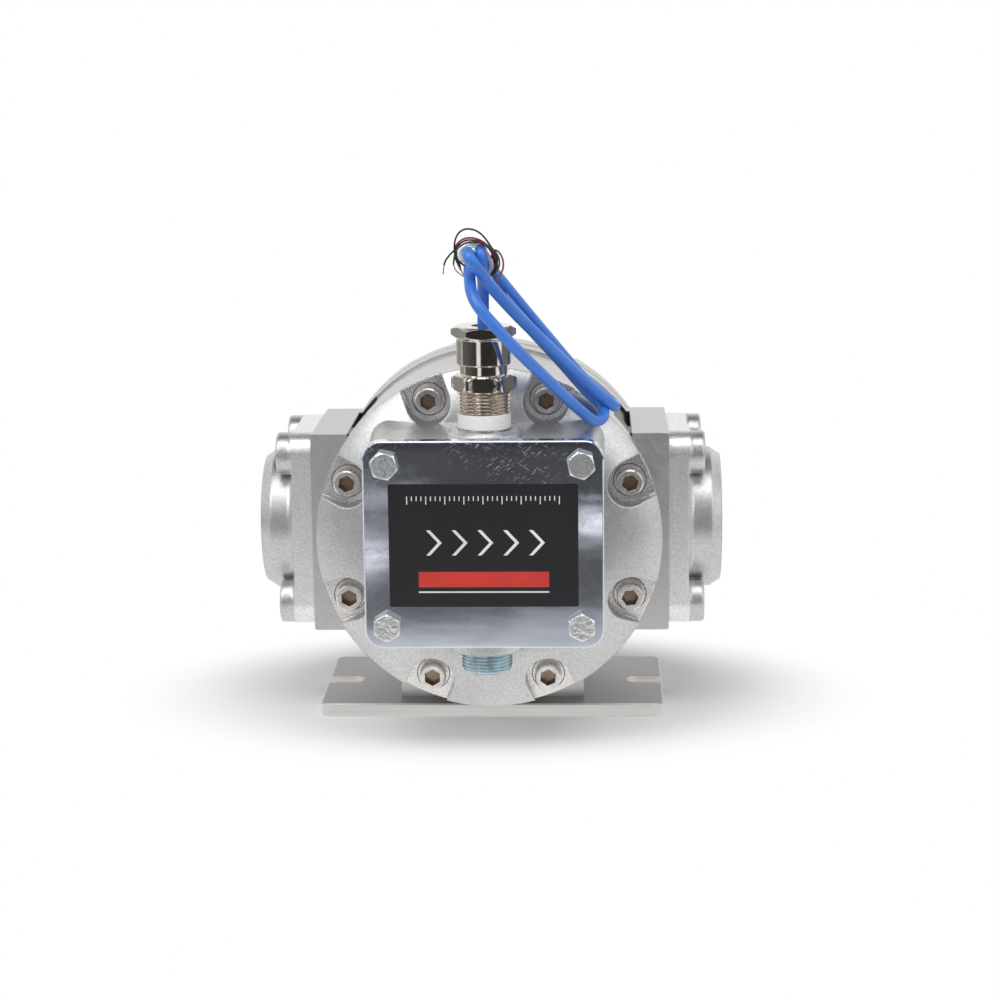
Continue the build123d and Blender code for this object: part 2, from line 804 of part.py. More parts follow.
with BuildPart() as board_standoffs:
    with BuildSketch(front(box_floor_depth)):
        with Locations(*standoff_points):
            RegularPolygon(standoff_radius, hex_sides)
            Circle(board_screw_radius + screw_gap, mode=Mode.SUBTRACT)
    extrude(amount=standoff_length)
board_standoffs.part.label = "board_standoffs"
export_step(board_standoffs.part, "parts/board_standoffs.step")

with BuildPart() as sensor_board:
    with BuildSketch(front(board_back)):
        with Locations(box_centre):
            Rectangle(board_width, board_height)
        with Locations(*standoff_points):
            Circle(board_screw_radius + screw_gap, mode=Mode.SUBTRACT)
    extrude(amount=board_thickness)
sensor_board.part.label = "sensor_board"
export_step(sensor_board.part, "parts/sensor_board.step")

with BuildPart() as board_screws:
    with BuildSketch(front(board_front)):
        with Locations(*standoff_points):
            Circle(board_screw_head_radius)
    extrude(amount=board_screw_head)
    with BuildSketch(front(board_front)):
        with Locations(*standoff_points):
            Circle(board_screw_radius)
    extrude(amount=-board_screw_length)
board_screws.part.label = "board_screws"
export_step(board_screws.part, "parts/board_screws.step")

terminal_centre = box_rise + terminal_rise
terminal_top = terminal_centre + terminal_height / 2
terminal_pitch = terminal_width / terminal_count
with BuildPart() as terminal_block:
    with BuildSketch(front(board_front)):
        with Locations((0, terminal_centre)):
            Rectangle(terminal_width, terminal_height)
    extrude(amount=terminal_depth)
    with BuildSketch(level(terminal_top, board_front + terminal_depth / 2)):
        with GridLocations(terminal_pitch, 0, terminal_count, 1):
            Rectangle(terminal_mouth, terminal_mouth)
    extrude(amount=-terminal_mouth_depth, mode=Mode.SUBTRACT)
terminal_block.part.label = "terminal_block"
export_step(terminal_block.part, "parts/terminal_block.step")

# Cable gland, built up along its own vertical axis over the upper hub
thread_foot = hub_top - gland_engagement
hex_foot = hub_top + tape_height + gland_thread_show
sleeve_foot = hex_foot + gland_hex_height
cap_foot = sleeve_foot + gland_sleeve_height
nut_foot = cap_foot + gland_cap_height
gland_top = nut_foot + gland_nut_height
seal_foot = sleeve_foot + gland_seal_inset

with BuildPart() as thread_tape:
    with BuildSketch(level(hub_top, hub_depth)):
        Circle(pipe_thread_radius + tape_thickness + pressed_gap)
        Circle(pipe_thread_radius + pressed_gap, mode=Mode.SUBTRACT)
    extrude(amount=tape_height)
thread_tape.part.label = "thread_tape"
export_step(thread_tape.part, "parts/thread_tape.step")

body_hex = hex_head(gland_hex_across, gland_hex_height, gland_hex_turned_share, (0, 1))
with BuildPart(level(hex_foot, hub_depth)) as gland_body:
    add(body_hex)
    with BuildSketch(level(thread_foot, hub_depth)):
        Circle(pipe_thread_radius)
    extrude(amount=hex_foot - thread_foot)
    with BuildSketch(level(thread_foot, hub_depth)):
        Circle(gland_tail_radius)
    extrude(amount=sleeve_foot - thread_foot, mode=Mode.SUBTRACT)
gland_body.part.label = "gland_body"
export_step(gland_body.part, "parts/gland_body.step")

with BuildPart() as gland_sleeve:
    with BuildSketch(level(sleeve_foot, hub_depth)):
        Circle(gland_sleeve_radius)
        Circle(gland_bore_radius, mode=Mode.SUBTRACT)
    extrude(amount=gland_sleeve_height)
gland_sleeve.part.label = "gland_sleeve"
export_step(gland_sleeve.part, "parts/gland_sleeve.step")

with BuildPart() as gland_cap:
    with BuildSketch(level(cap_foot, hub_depth)):
        Circle(gland_cap_radius)
    extrude(amount=gland_cap_height)
    chamfer(gland_cap.edges().filter_by(GeomType.CIRCLE), gland_cap_chamfer)
    with BuildSketch(level(cap_foot, hub_depth)):
        Circle(gland_bore_radius)
    extrude(amount=gland_cap_height, mode=Mode.SUBTRACT)
gland_cap.part.label = "gland_cap"
export_step(gland_cap.part, "parts/gland_cap.step")

nut_hex = hex_head(gland_nut_across, gland_nut_height, gland_hex_turned_share, (0, 1))
with BuildPart(level(nut_foot, hub_depth)) as gland_nut:
    add(nut_hex)
    with BuildSketch(level(gland_top, hub_depth)):
        Circle(gland_mouth_radius)
    extrude(amount=-gland_mouth_depth, mode=Mode.SUBTRACT)
    with BuildSketch(level(gland_top, hub_depth)):
        Circle(cable_radius + cable_gap)
    extrude(amount=-gland_nut_height, mode=Mode.SUBTRACT)
gland_nut.part.label = "gland_nut"
export_step(gland_nut.part, "parts/gland_nut.step")

with BuildPart() as gland_seal:
    with BuildSketch(level(seal_foot, hub_depth)):
        Circle(gland_bore_radius - pressed_gap)
        Circle(cable_radius + pressed_gap, mode=Mode.SUBTRACT)
    extrude(amount=gland_seal_length)
gland_seal.part.label = "gland_seal"
export_step(gland_seal.part, "parts/gland_seal.step")

# Plug in the lower hub, with a hexagon socket in its outer end
with BuildPart() as conduit_plug:
    with BuildSketch(level(-plug_reach, hub_depth)):
        Circle(plug_radius)
    extrude(amount=plug_length)
    chamfer(conduit_plug.edges().filter_by(GeomType.CIRCLE), plug_chamfer)
    with BuildSketch(level(-plug_reach, hub_depth)):
        RegularPolygon(plug_socket_across / 2, hex_sides, major_radius=False)
    extrude(amount=plug_socket_depth, mode=Mode.SUBTRACT)
conduit_plug.part.label = "conduit_plug"
export_step(conduit_plug.part, "parts/conduit_plug.step")


def bend_radii(points):
    """Radius of the arc at each inner corner: as large as its two runs allow."""
    corners = zip(points, points[1:], points[2:])
    radii = []
    for before, corner, after in corners:
        turn = (corner - before).get_angle(after - corner)
        shorter = min((corner - before).length, (after - corner).length)
        radii.append(bend_share * shorter / tan(radians(turn / 2)))
    return radii


# Cable inside the gland, and its leads to the terminal block
with BuildPart() as inner_cable:
    with BuildSketch(level(cable_inside_end, hub_depth)):
        Circle(cable_radius)
    extrude(amount=gland_top - cable_inside_end)
inner_cable.part.label = "inner_cable"
export_step(inner_cable.part, "parts/inner_cable.step")

lead_places = [k - (lead_count - 1) / 2 for k in range(lead_count)]
lead_starts = [(x, y) for x in (-lead_bundle, lead_bundle) for y in (-lead_bundle, lead_bundle)]
lead_floor = terminal_top - terminal_mouth_depth + lead_radius
lead_wires = []
for place, (start_x, start_y) in zip(lead_places, lead_starts):
    start = Vector(start_x, start_y - hub_depth, axis_height + cable_inside_end)
    mouth_depth = board_front + terminal_depth / 2
    mouth = Vector(place * terminal_pitch, -mouth_depth, axis_height + lead_floor)
    above_mouth = Vector(mouth.X, mouth.Y, axis_height + terminal_top + lead_spread / 2)
    below_start = start - Vector(0, 0, lead_spread / 2)
    route = [start, below_start, above_mouth, mouth]
    with BuildPart() as lead:
        with BuildLine() as lead_line:
            FilletPolyline(*route, radius=[lead_spread / 4, lead_spread / 4])
        with BuildSketch(Plane(origin=start, z_dir=(0, 0, -1))):
            Circle(lead_radius)
        sweep(path=lead_line.wire())
    lead_wires.append(lead.part)
with BuildPart() as inner_leads:
    for wire in lead_wires:
        add(wire)
inner_leads.part.label = "inner_leads"
export_step(inner_leads.part, "parts/inner_leads.step")

# Free cable: a short stretch up out of the gland, which then runs into the folded hank
cable_exit = Vector(0, -hub_depth, axis_height + gland_top)
cable_points = [cable_exit + Vector(*step) for step in cable_route]
cable_radii = bend_radii(cable_points)
print("cable bend radii", [round(radius, 1) for radius in cable_radii])
with BuildPart() as signal_cable:
    with BuildLine() as cable_line:
        FilletPolyline(*cable_points, radius=cable_radii)
    with BuildSketch(Plane(origin=cable_points[0], z_dir=cable_points[1] - cable_points[0])):
        Circle(cable_radius)
    sweep(path=cable_line.wire())
signal_cable.part.label = "signal_cable"
export_step(signal_cable.part, "parts/signal_cable.step")

hank_start = Vector(*hank_top) + Vector(0, 0, axis_height)
hank_end = Vector(*hank_foot) + Vector(0, 0, axis_height)
hank_along = hank_end - hank_start
hank_swell = Vector(*hank_bow) + Vector(0, 0, axis_height)
hank_plane = Plane(origin=hank_start, x_dir=hank_along, z_dir=hank_along.cross(hank_swell - hank_start))
swell_place = hank_plane.to_local_coords(hank_swell)
with BuildPart() as cable_hank:
    with BuildSketch(hank_plane):
        Circle(hank_top_radius)
        with Locations((hank_along.length, 0)):
            Circle(hank_foot_radius)
        with Locations((swell_place.X, swell_place.Y)):
            Circle(hank_bow_radius)
        make_hull()
    extrude(amount=hank_thickness / 2, both=True)
    fillet(cable_hank.edges(), hank_edge)
cable_hank.part.label = "cable_hank"
export_step(cable_hank.part, "parts/cable_hank.step")

# Stripped wire ends, coiled round the top of the hank
ring_centre = Vector(*wire_ring_centre) + Vector(0, 0, axis_height)
ring_plane = Plane(origin=ring_centre, x_dir=(1, 0, 0), z_dir=(0, -1, 0))
with BuildPart() as stripped_wires:
    with BuildLine(ring_plane) as ring_line:
        CenterArc((0, 0), wire_ring_radius, wire_ring_start, wire_ring_turn)
    with BuildSketch(Plane(origin=ring_line.line @ 0, z_dir=ring_line.line % 0)):
        Circle(wire_bundle_radius)
    sweep(path=ring_line.wire())
stripped_wires.part.label = "stripped_wires"
export_step(stripped_wires.part, "parts/stripped_wires.step")
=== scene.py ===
from math import cos, floor, pi, radians, sin, tau

import bmesh
import bpy
from mathutils import Matrix, Vector
from mathutils import noise as value_noise


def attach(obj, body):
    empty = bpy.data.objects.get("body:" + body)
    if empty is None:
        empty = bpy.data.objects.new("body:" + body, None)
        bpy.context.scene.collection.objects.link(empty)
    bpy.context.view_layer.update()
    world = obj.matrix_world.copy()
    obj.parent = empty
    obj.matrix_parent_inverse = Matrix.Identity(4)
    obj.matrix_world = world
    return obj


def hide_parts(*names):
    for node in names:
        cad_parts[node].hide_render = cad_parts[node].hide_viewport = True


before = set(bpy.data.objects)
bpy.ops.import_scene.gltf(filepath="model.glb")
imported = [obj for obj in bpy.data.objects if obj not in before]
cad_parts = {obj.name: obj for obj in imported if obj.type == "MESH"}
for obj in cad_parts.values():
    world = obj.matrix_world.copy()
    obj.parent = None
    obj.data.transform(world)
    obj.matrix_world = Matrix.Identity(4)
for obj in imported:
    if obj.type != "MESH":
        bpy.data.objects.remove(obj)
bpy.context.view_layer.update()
MM = 0.001

# Places in the frame. Heights below are millimetres over the meter axis, as in the drawings.
AXIS_HEIGHT = 101.0
GLAND_DEPTH = 97.0
METER = "meter"


def at(x, y, rise):
    """Point in the frame, in metres, from millimetres with the rise over the meter axis."""
    return Vector((x * MM, y * MM, (rise + AXIS_HEIGHT) * MM))


# Camera, as fitted to the photograph
IMAGE_SIZE = 1000
FOCAL_PIXELS = 2434.0
SENSOR_WIDTH = 36.0
CAMERA_PLACE = at(54.1, -1322.5, 276.1)
CAMERA_YAW = -0.038
CAMERA_PITCH = 0.199
CAMERA_ROLL = -0.011


def make_camera():
    """Camera at the photograph's viewpoint."""
    forward = Vector((
        sin(CAMERA_YAW) * cos(CAMERA_PITCH),
        cos(CAMERA_YAW) * cos(CAMERA_PITCH),
        -sin(CAMERA_PITCH),
    ))
    level_right = Vector((cos(CAMERA_YAW), -sin(CAMERA_YAW), 0))
    level_up = level_right.cross(forward)
    right = cos(CAMERA_ROLL) * level_right + sin(CAMERA_ROLL) * level_up
    up = cos(CAMERA_ROLL) * level_up - sin(CAMERA_ROLL) * level_right
    turn = Matrix((right, up, -forward)).transposed().to_4x4()
    data = bpy.data.cameras.new("camera")
    data.sensor_width = SENSOR_WIDTH
    data.lens = FOCAL_PIXELS / IMAGE_SIZE * SENSOR_WIDTH
    data.clip_start = 0.05
    data.clip_end = 50
    camera = bpy.data.objects.new("camera", data)
    bpy.context.scene.collection.objects.link(camera)
    camera.matrix_world = Matrix.Translation(CAMERA_PLACE) @ turn
    bpy.context.scene.camera = camera


# Materials

# Most of a noise's values lie in this range, and smears take up less of a surface
NOISE_RANGE = (0.3, 0.7)
SMEAR_RANGE = (0.35, 0.7)


class Shader:
    """A material's node tree, with short ways to add and join nodes."""

    def __init__(self, name):
        self.material = bpy.data.materials.new(name)
        self.material.use_nodes = True
        self.tree = self.material.node_tree
        self.bsdf = self.tree.nodes["Principled BSDF"]
        self.place = self.node("ShaderNodeTexCoord").outputs["Object"]

    def node(self, kind, inputs=None, **settings):
        made = self.tree.nodes.new(kind)
        for key, value in settings.items():
            setattr(made, key, value)
        for key, value in (inputs or {}).items():
            self.feed(made.inputs[key], value)
        return made

    def feed(self, socket, value):
        if isinstance(value, bpy.types.NodeSocket):
            self.tree.links.new(value, socket)
        else:
            socket.default_value = value

    def noise(self, scale, detail=2.0, roughness=0.5, vector=None):
        values = {
            "Vector": self.place if vector is None else vector,
            "Scale": scale,
            "Detail": detail,
            "Roughness": roughness,
        }
        return self.node("ShaderNodeTexNoise", values).outputs["Fac"]

    def stretched(self, factors, turn=(0, 0, 0), shift=(0, 0, 0)):
        """The surface's place, turned and then stretched, for grain that runs one way."""
        turned = self.node("ShaderNodeMapping", {"Vector": self.place, "Rotation": turn})
        values = {"Vector": turned.outputs["Vector"], "Scale": factors, "Location": shift}
        return self.node("ShaderNodeMapping", values).outputs["Vector"]

    def split(self, vector):
        """The vector's X, Y and Z."""
        return self.node("ShaderNodeSeparateXYZ", {"Vector": vector}).outputs

    def math(self, operation, first, second=0.0, third=0.0):
        made = self.node("ShaderNodeMath", operation=operation)
        for socket, value in zip(made.inputs, (first, second, third)):
            self.feed(socket, value)
        return made.outputs[0]

    def reach(self, across, upward):
        """Distance over both of these sides together."""
        squares = [self.math("POWER", side, 2) for side in (across, upward)]
        return self.math("SQRT", self.math("ADD", *squares))

    def fit(self, value, low, high, to_low=0.0, to_high=1.0):
        values = {
            "Value": value,
            "From Min": low,
            "From Max": high,
            "To Min": to_low,
            "To Max": to_high,
        }
        return self.node("ShaderNodeMapRange", values).outputs["Result"]

    def mix(self, share, first, second, blend="MIX"):
        made = self.node("ShaderNodeMix", data_type="RGBA", blend_type=blend)
        self.feed(made.inputs[0], share)
        self.feed(made.inputs[6], first)
        self.feed(made.inputs[7], second)
        return made.outputs[2]

    def level(self, value):
        """A grey of that value."""
        values = {"Red": value, "Green": value, "Blue": value}
        return self.node("ShaderNodeCombineColor", values).outputs["Color"]

    def bump(self, height, distance, strength=1.0, normal=None):
        values = {"Height": height, "Distance": distance, "Strength": strength}
        if normal is not None:
            values["Normal"] = normal
        return self.node("ShaderNodeBump", values).outputs["Normal"]

    def bevel(self, radius):
        return self.node("ShaderNodeBevel", {"Radius": radius}, samples=4).outputs["Normal"]

    def finish(self, color=None, roughness=None, normal=None, **constants):
        for key, value in (("Base Color", color), ("Roughness", roughness), ("Normal", normal)):
            if value is not None:
                self.feed(self.bsdf.inputs[key], value)
        for key, value in constants.items():
            self.bsdf.inputs[key.replace("_", " ")].default_value = value
        return self.material


# Places on the cast pieces, where a pair is a middle and how far to either side of it
SCREW_PITCH = pi / 4
SCREW_CIRCLE = 81 * MM
POCKET_FLOOR = (-55 * MM, 0.6 * MM)
SPOT_FACE_EDGE = (8.7 * MM, 0.28 * MM)
SOCKET_DEPTH = (61.7 * MM, 2.4 * MM)
SOCKET_REACH = 4.7 * MM
FLANGE_PLATE = (96 * MM, 11.5 * MM)


def screw_reach(shader, parts):
    """Distance from the nearest of the cover's eight screw axes."""
    rise = shader.math("SUBTRACT", parts["Z"], AXIS_HEIGHT * MM)
    around = shader.math("WRAP", shader.math("ARCTAN2", rise, parts["X"]), SCREW_PITCH, 0.0)
    off = shader.math("SUBTRACT", around, SCREW_PITCH / 2)
    reach = shader.reach(rise, parts["X"])
    outward = shader.math("MULTIPLY", reach, shader.math("COSINE", off))
    aside = shader.math("MULTIPLY", reach, shader.math("SINE", off))
    return shader.reach(shader.math("SUBTRACT", outward, SCREW_CIRCLE), aside)


CAST_DARK = (0.60, 0.61, 0.60, 1)
CAST_LIGHT = (0.70, 0.70, 0.69, 1)
POCKET_PAINTED_LIGHT_TONE = (0.86, 0.83, 0.81, 1)
SCREW_RING_SHADE_TONE = (0.22, 0.20, 0.19, 1)
FLANGE_PAINTED_LIGHT_TONE = (0.95, 0.95, 0.94, 1)


def cast_aluminium(name, plate_light_share=0.0):
    """Sand-cast and blasted aluminium: fine grain that sparkles, with faint clouds.

    The covers' pocket floors are smoother, and lighter in colour as painted light; a dark ring
    round each screw head is painted shade.
    `plate_light_share` lightens the flanges' plates with painted light.
    """
    shader = Shader(name)
    grain = shader.noise(2600, 2.0, 0.6)
    fine = shader.noise(900, 3.0, 0.6)
    clouds = shader.noise(28, 3.0, 0.55)
    values = {"Vector": shader.place, "Scale": 1500.0}
    flecks = shader.node("ShaderNodeTexVoronoi", values).outputs["Color"]
    fleck = shader.node("ShaderNodeRGBToBW", {"Color": flecks}).outputs["Val"]
    sparkle = shader.level(shader.fit(fleck, 0.30, 0.75, 0.90, 1.10))
    base = shader.mix(shader.fit(clouds, *NOISE_RANGE), CAST_DARK, CAST_LIGHT)
    parts = shader.split(shader.place)
    pocket = shader.math("COMPARE", parts["Y"], *POCKET_FLOOR)
    # Painted light: the pocket floors are painted lighter than the rest of the casting.
    base = shader.mix(pocket, base, POCKET_PAINTED_LIGHT_TONE)
    # Painted shade: a dark ring round each screw head on the pocket floors.
    ring = shader.math("COMPARE", screw_reach(shader, parts), *SPOT_FACE_EDGE)
    base = shader.mix(shader.math("MULTIPLY", ring, pocket), base, SCREW_RING_SHADE_TONE)
    # Painted light: the flanges' plates are lightened towards near white.
    if plate_light_share:
        plate = shader.math("COMPARE", shader.math("ABSOLUTE", parts["X"]), *FLANGE_PLATE)
        base = shader.mix(shader.math("MULTIPLY", plate, plate_light_share), base, FLANGE_PAINTED_LIGHT_TONE)
    color = shader.mix(1.0, base, sparkle, "MULTIPLY")
    blasted = shader.fit(fine, *NOISE_RANGE, 0.30, 0.44)
    roughness = shader.math("MULTIPLY_ADD", pocket, -0.10, blasted)
    hollows = shader.math("MULTIPLY", pocket, shader.noise(60, 1.0, 0.4))
    waved = shader.bump(hollows, 0.6 * MM, 1.0, shader.bevel(1.5 * MM))
    coarse = shader.bump(fine, 0.10 * MM, 0.55, waved)
    normal = shader.bump(grain, 0.06 * MM, 0.7, coarse)
    return shader.finish(color, roughness, normal, Metallic=1.0)


# Where shade is painted into the body's pockets beside its ears, as a middle and how far to either
# side of it
CORNER_POCKET_X = (71.0 * MM, 5.3 * MM)
CORNER_POCKET_Y = (-10 * MM, 40 * MM)
CORNER_POCKET_Z = ((AXIS_HEIGHT + 51.5) * MM, 11.5 * MM)
# The painted shade in those pockets, nearly black
CORNER_POCKET_SHADE_TONE = (0.05, 0.045, 0.04, 1)


def corner_pocket_shade_mask(shader):
    """Whether a place is inside the pockets at the body's upper corners, where shade is painted.
    """
    parts = shader.split(shader.place)
    aside = shader.math("COMPARE", shader.math("ABSOLUTE", parts["X"]), *CORNER_POCKET_X)
    within = shader.math("COMPARE", parts["Y"], *CORNER_POCKET_Y)
    high = shader.math("COMPARE", parts["Z"], *CORNER_POCKET_Z)
    return shader.math("MULTIPLY", shader.math("MULTIPLY", aside, within), high)


def machined_aluminium(name, dark, light, lines, rough, turn=0.0, top_shade=0.0, pocket_shade=0.0):
    """Milled aluminium: fine lines one way, turned round Y, with broad faint streaks.

    `top_shade` paints shade on the faces that look up, and `pocket_shade` paints shade into the
    body's corner pockets.
    """
    shader = Shader(name)
    streaks = shader.noise(1.0, 4.0, 0.65, vector=shader.stretched(lines, (0, turn, 0)))
    clouds = shader.noise(18, 2.0, 0.5)
    color = shader.mix(shader.fit(streaks, *NOISE_RANGE), dark, light)
    shaded = shader.mix(shader.fit(clouds, 0.35, 0.65, 0.0, 0.25), color, dark)
    # Painted shade: faces that look up are darkened towards black.
    if top_shade:
        facing = shader.node("ShaderNodeNewGeometry").outputs["Normal"]
        worn = shader.fit(shader.split(facing)["Z"], 0.5, 0.9, 0.0, top_shade)
        shaded = shader.mix(worn, shaded, (0, 0, 0, 1))
    # Painted shade: the body's corner pockets are painted nearly black.
    if pocket_shade:
        pocket = shader.math("MULTIPLY", corner_pocket_shade_mask(shader), pocket_shade)
        shaded = shader.mix(pocket, shaded, CORNER_POCKET_SHADE_TONE)
    roughness = shader.fit(streaks, *NOISE_RANGE, *rough)
    normal = shader.bump(streaks, 0.05 * MM, 0.5, shader.bevel(0.5 * MM))
    return shader.finish(shaded, roughness, normal, Metallic=1.0)


def plated_metal(name, color, roughness, edge=0.25 * MM, marks=0.0):
    """Plated or polished small metal part, with slight handling marks or a stamped head."""
    shader = Shader(name)
    smears = shader.noise(160, 3.0, 0.6)
    grain = shader.noise(1400, 2.0, 0.5)
    dark = tuple(channel * 0.82 for channel in color) + (1,)
    tone = shader.mix(shader.fit(smears, *SMEAR_RANGE), color + (1,), dark)
    rough = shader.fit(smears, *NOISE_RANGE, roughness * 0.75, roughness * 1.35)
    normal = shader.bevel(edge)
    if marks:
        normal = shader.bump(shader.noise(420, 2.0, 0.6), 0.5 * MM, marks, normal)
    normal = shader.bump(grain, 0.02 * MM, 0.35, normal)
    return shader.finish(tone, rough, normal, Metallic=1.0)


CAP_SCREW_LIGHT = (0.84, 0.81, 0.79, 1)
CAP_SCREW_DARK = (0.66, 0.62, 0.59, 1)
SOCKET_TONE = (0.20, 0.12, 0.06, 1)


def socket_screw_steel():
    """The covers' cap screws: satin heads, and sockets coloured dark brown."""
    shader = Shader("socket_screw_steel")
    parts = shader.split(shader.place)
    height = shader.math("ABSOLUTE", parts["Y"])
    sunk = shader.math("COMPARE", height, *SOCKET_DEPTH)
    inside = shader.math("LESS_THAN", screw_reach(shader, parts), SOCKET_REACH)
    smears = shader.noise(240, 3.0, 0.6)
    tone = shader.mix(shader.fit(smears, *SMEAR_RANGE), CAP_SCREW_LIGHT, CAP_SCREW_DARK)
    socket = shader.math("MULTIPLY", shader.math("MULTIPLY", sunk, inside), 0.85)
    tone = shader.mix(socket, tone, SOCKET_TONE)
    rough = shader.fit(smears, *NOISE_RANGE, 0.18, 0.34)
    normal = shader.bump(shader.noise(500, 2.0, 0.5), 0.06 * MM, 0.6, shader.bevel(0.35 * MM))
    return shader.finish(tone, rough, normal, Metallic=1.0)


def moulded(name, color, roughness, grain_scale=1200, grain_depth=0.02 * MM):
    """Plastic or rubber, with a fine grain and a slightly uneven tone."""
    shader = Shader(name)
    grain = shader.noise(grain_scale, 2.0, 0.5)
    clouds = shader.noise(60, 2.0, 0.5)
    dark = tuple(channel * 0.8 for channel in color) + (1,)
    tone = shader.mix(shader.fit(clouds, *NOISE_RANGE), dark, color + (1,))
    rough = shader.fit(grain, *NOISE_RANGE, roughness * 0.85, roughness * 1.15)
    normal = shader.bump(grain, grain_depth, 0.5)
    return shader.finish(tone, rough, normal)


JACKET_DARK = (0.030, 0.165, 0.62, 1)
JACKET_LIGHT = (0.050, 0.215, 0.72, 1)


def jacket_plastic():
    """The cable's smooth blue jacket, with a soft gloss."""
    shader = Shader("blue_jacket")
    clouds = shader.noise(22, 2.0, 0.5)
    tone = shader.mix(shader.fit(clouds, *NOISE_RANGE), JACKET_DARK, JACKET_LIGHT)
    return shader.finish(tone, 0.34, None, Coat_Weight=0.35, Coat_Roughness=0.12)


# Painted reflection: the lid's metal is tinted blue, so that what it reflects looks navy.
LID_DARK = (0.72, 0.76, 0.87, 1)
LID_LIGHT = (0.82, 0.86, 0.96, 1)
SCRATCH_TONE = (0.95, 0.95, 0.96, 1)
# The mill's path over the lid: the arcs' centre in X and Z, and their pitch
LID_ARCS = ((-160 * MM, 20 * MM, 0.55 * MM), (210 * MM, 210 * MM, 0.8 * MM))
# The scratches' turn round Y and their shift
LID_SCRATCHES = ((0.75, 0.0), (0.55, 0.3), (-0.6, 0.7))
# Below the first height the scratches are few, and above the second they are all there
SCRATCHED_HEIGHTS = (100 * MM, 135 * MM)


def lid_aluminium():
    """Milled and polished lid: waves in its polish, crossing tool arcs and short scratches."""
    shader = Shader("lid_aluminium")
    parts = shader.split(shader.place)
    arcs = []
    for centre_x, centre_z, pitch in LID_ARCS:
        across = shader.math("SUBTRACT", parts["X"], centre_x)
        upward = shader.math("SUBTRACT", parts["Z"], centre_z)
        turns = shader.math("DIVIDE", shader.reach(across, upward), pitch)
        along = shader.node("ShaderNodeCombineXYZ", {"X": turns})
        arcs.append(shader.noise(1.0, 2.0, 0.7, vector=along.outputs["Vector"]))
    waves = shader.noise(1.0, 2.0, 0.45, vector=shader.stretched((18, 18, 55)))
    scratched = None
    for turn, shift in LID_SCRATCHES:
        grain = shader.stretched((170, 170, 2400), (0, turn, 0), (shift, 0, shift))
        lines = shader.fit(shader.noise(1.0, 1.0, 0.5, vector=grain), 0.68, 0.74)
        scratched = lines if scratched is None else shader.math("MAXIMUM", scratched, lines)
    patches = shader.fit(shader.noise(22, 2.0, 0.5), 0.40, 0.60)
    upper = shader.fit(parts["Z"], *SCRATCHED_HEIGHTS, 0.25, 1.0)
    scratches = shader.math("MULTIPLY", scratched, shader.math("MULTIPLY", patches, upper))
    clouds = shader.noise(26, 3.0, 0.6)
    fine = shader.noise(420, 3.0, 0.7)
    tool = shader.math("ADD", arcs[0], shader.math("MULTIPLY", arcs[1], 0.7))
    polish = shader.mix(shader.fit(clouds, 0.35, 0.65), LID_DARK, LID_LIGHT)
    color = shader.mix(shader.math("MULTIPLY", scratches, 0.7), polish, SCRATCH_TONE)
    hazy = shader.fit(clouds, 0.35, 0.7, 0.05, 0.09)
    smooth = shader.math("ADD", hazy, shader.fit(fine, 0.4, 0.7, 0.0, 0.03))
    roughness = shader.math("MULTIPLY_ADD", scratches, 0.42, smooth)
    wavy = shader.bump(waves, 0.10 * MM, 1.0, shader.bevel(0.8 * MM))
    milled = shader.bump(tool, 0.008 * MM, 0.8, wavy)
    normal = shader.bump(fine, 0.01 * MM, 0.25, milled)
    return shader.finish(color, roughness, normal, Metallic=1.0)


TAPE_DARK = (0.80, 0.80, 0.79, 1)
TAPE_LIGHT = (0.92, 0.92, 0.91, 1)


def thread_tape_plastic():
    """White sealing tape: matte, with fine stretched folds around the thread."""
    shader = Shader("thread_tape_plastic")
    folds = shader.noise(1.0, 3.0, 0.6, vector=shader.stretched((260, 260, 1500)))
    tone = shader.mix(shader.fit(folds, *NOISE_RANGE), TAPE_DARK, TAPE_LIGHT)
    normal = shader.bump(folds, 0.15 * MM, 0.6)
    return shader.finish(tone, 0.55, normal)


MACHINED_DARK = (0.60, 0.59, 0.58, 1)
MACHINED_LIGHT = (0.72, 0.71, 0.70, 1)
PLATE_DARK = (0.66, 0.64, 0.62, 1)
PLATE_LIGHT = (0.80, 0.78, 0.76, 1)


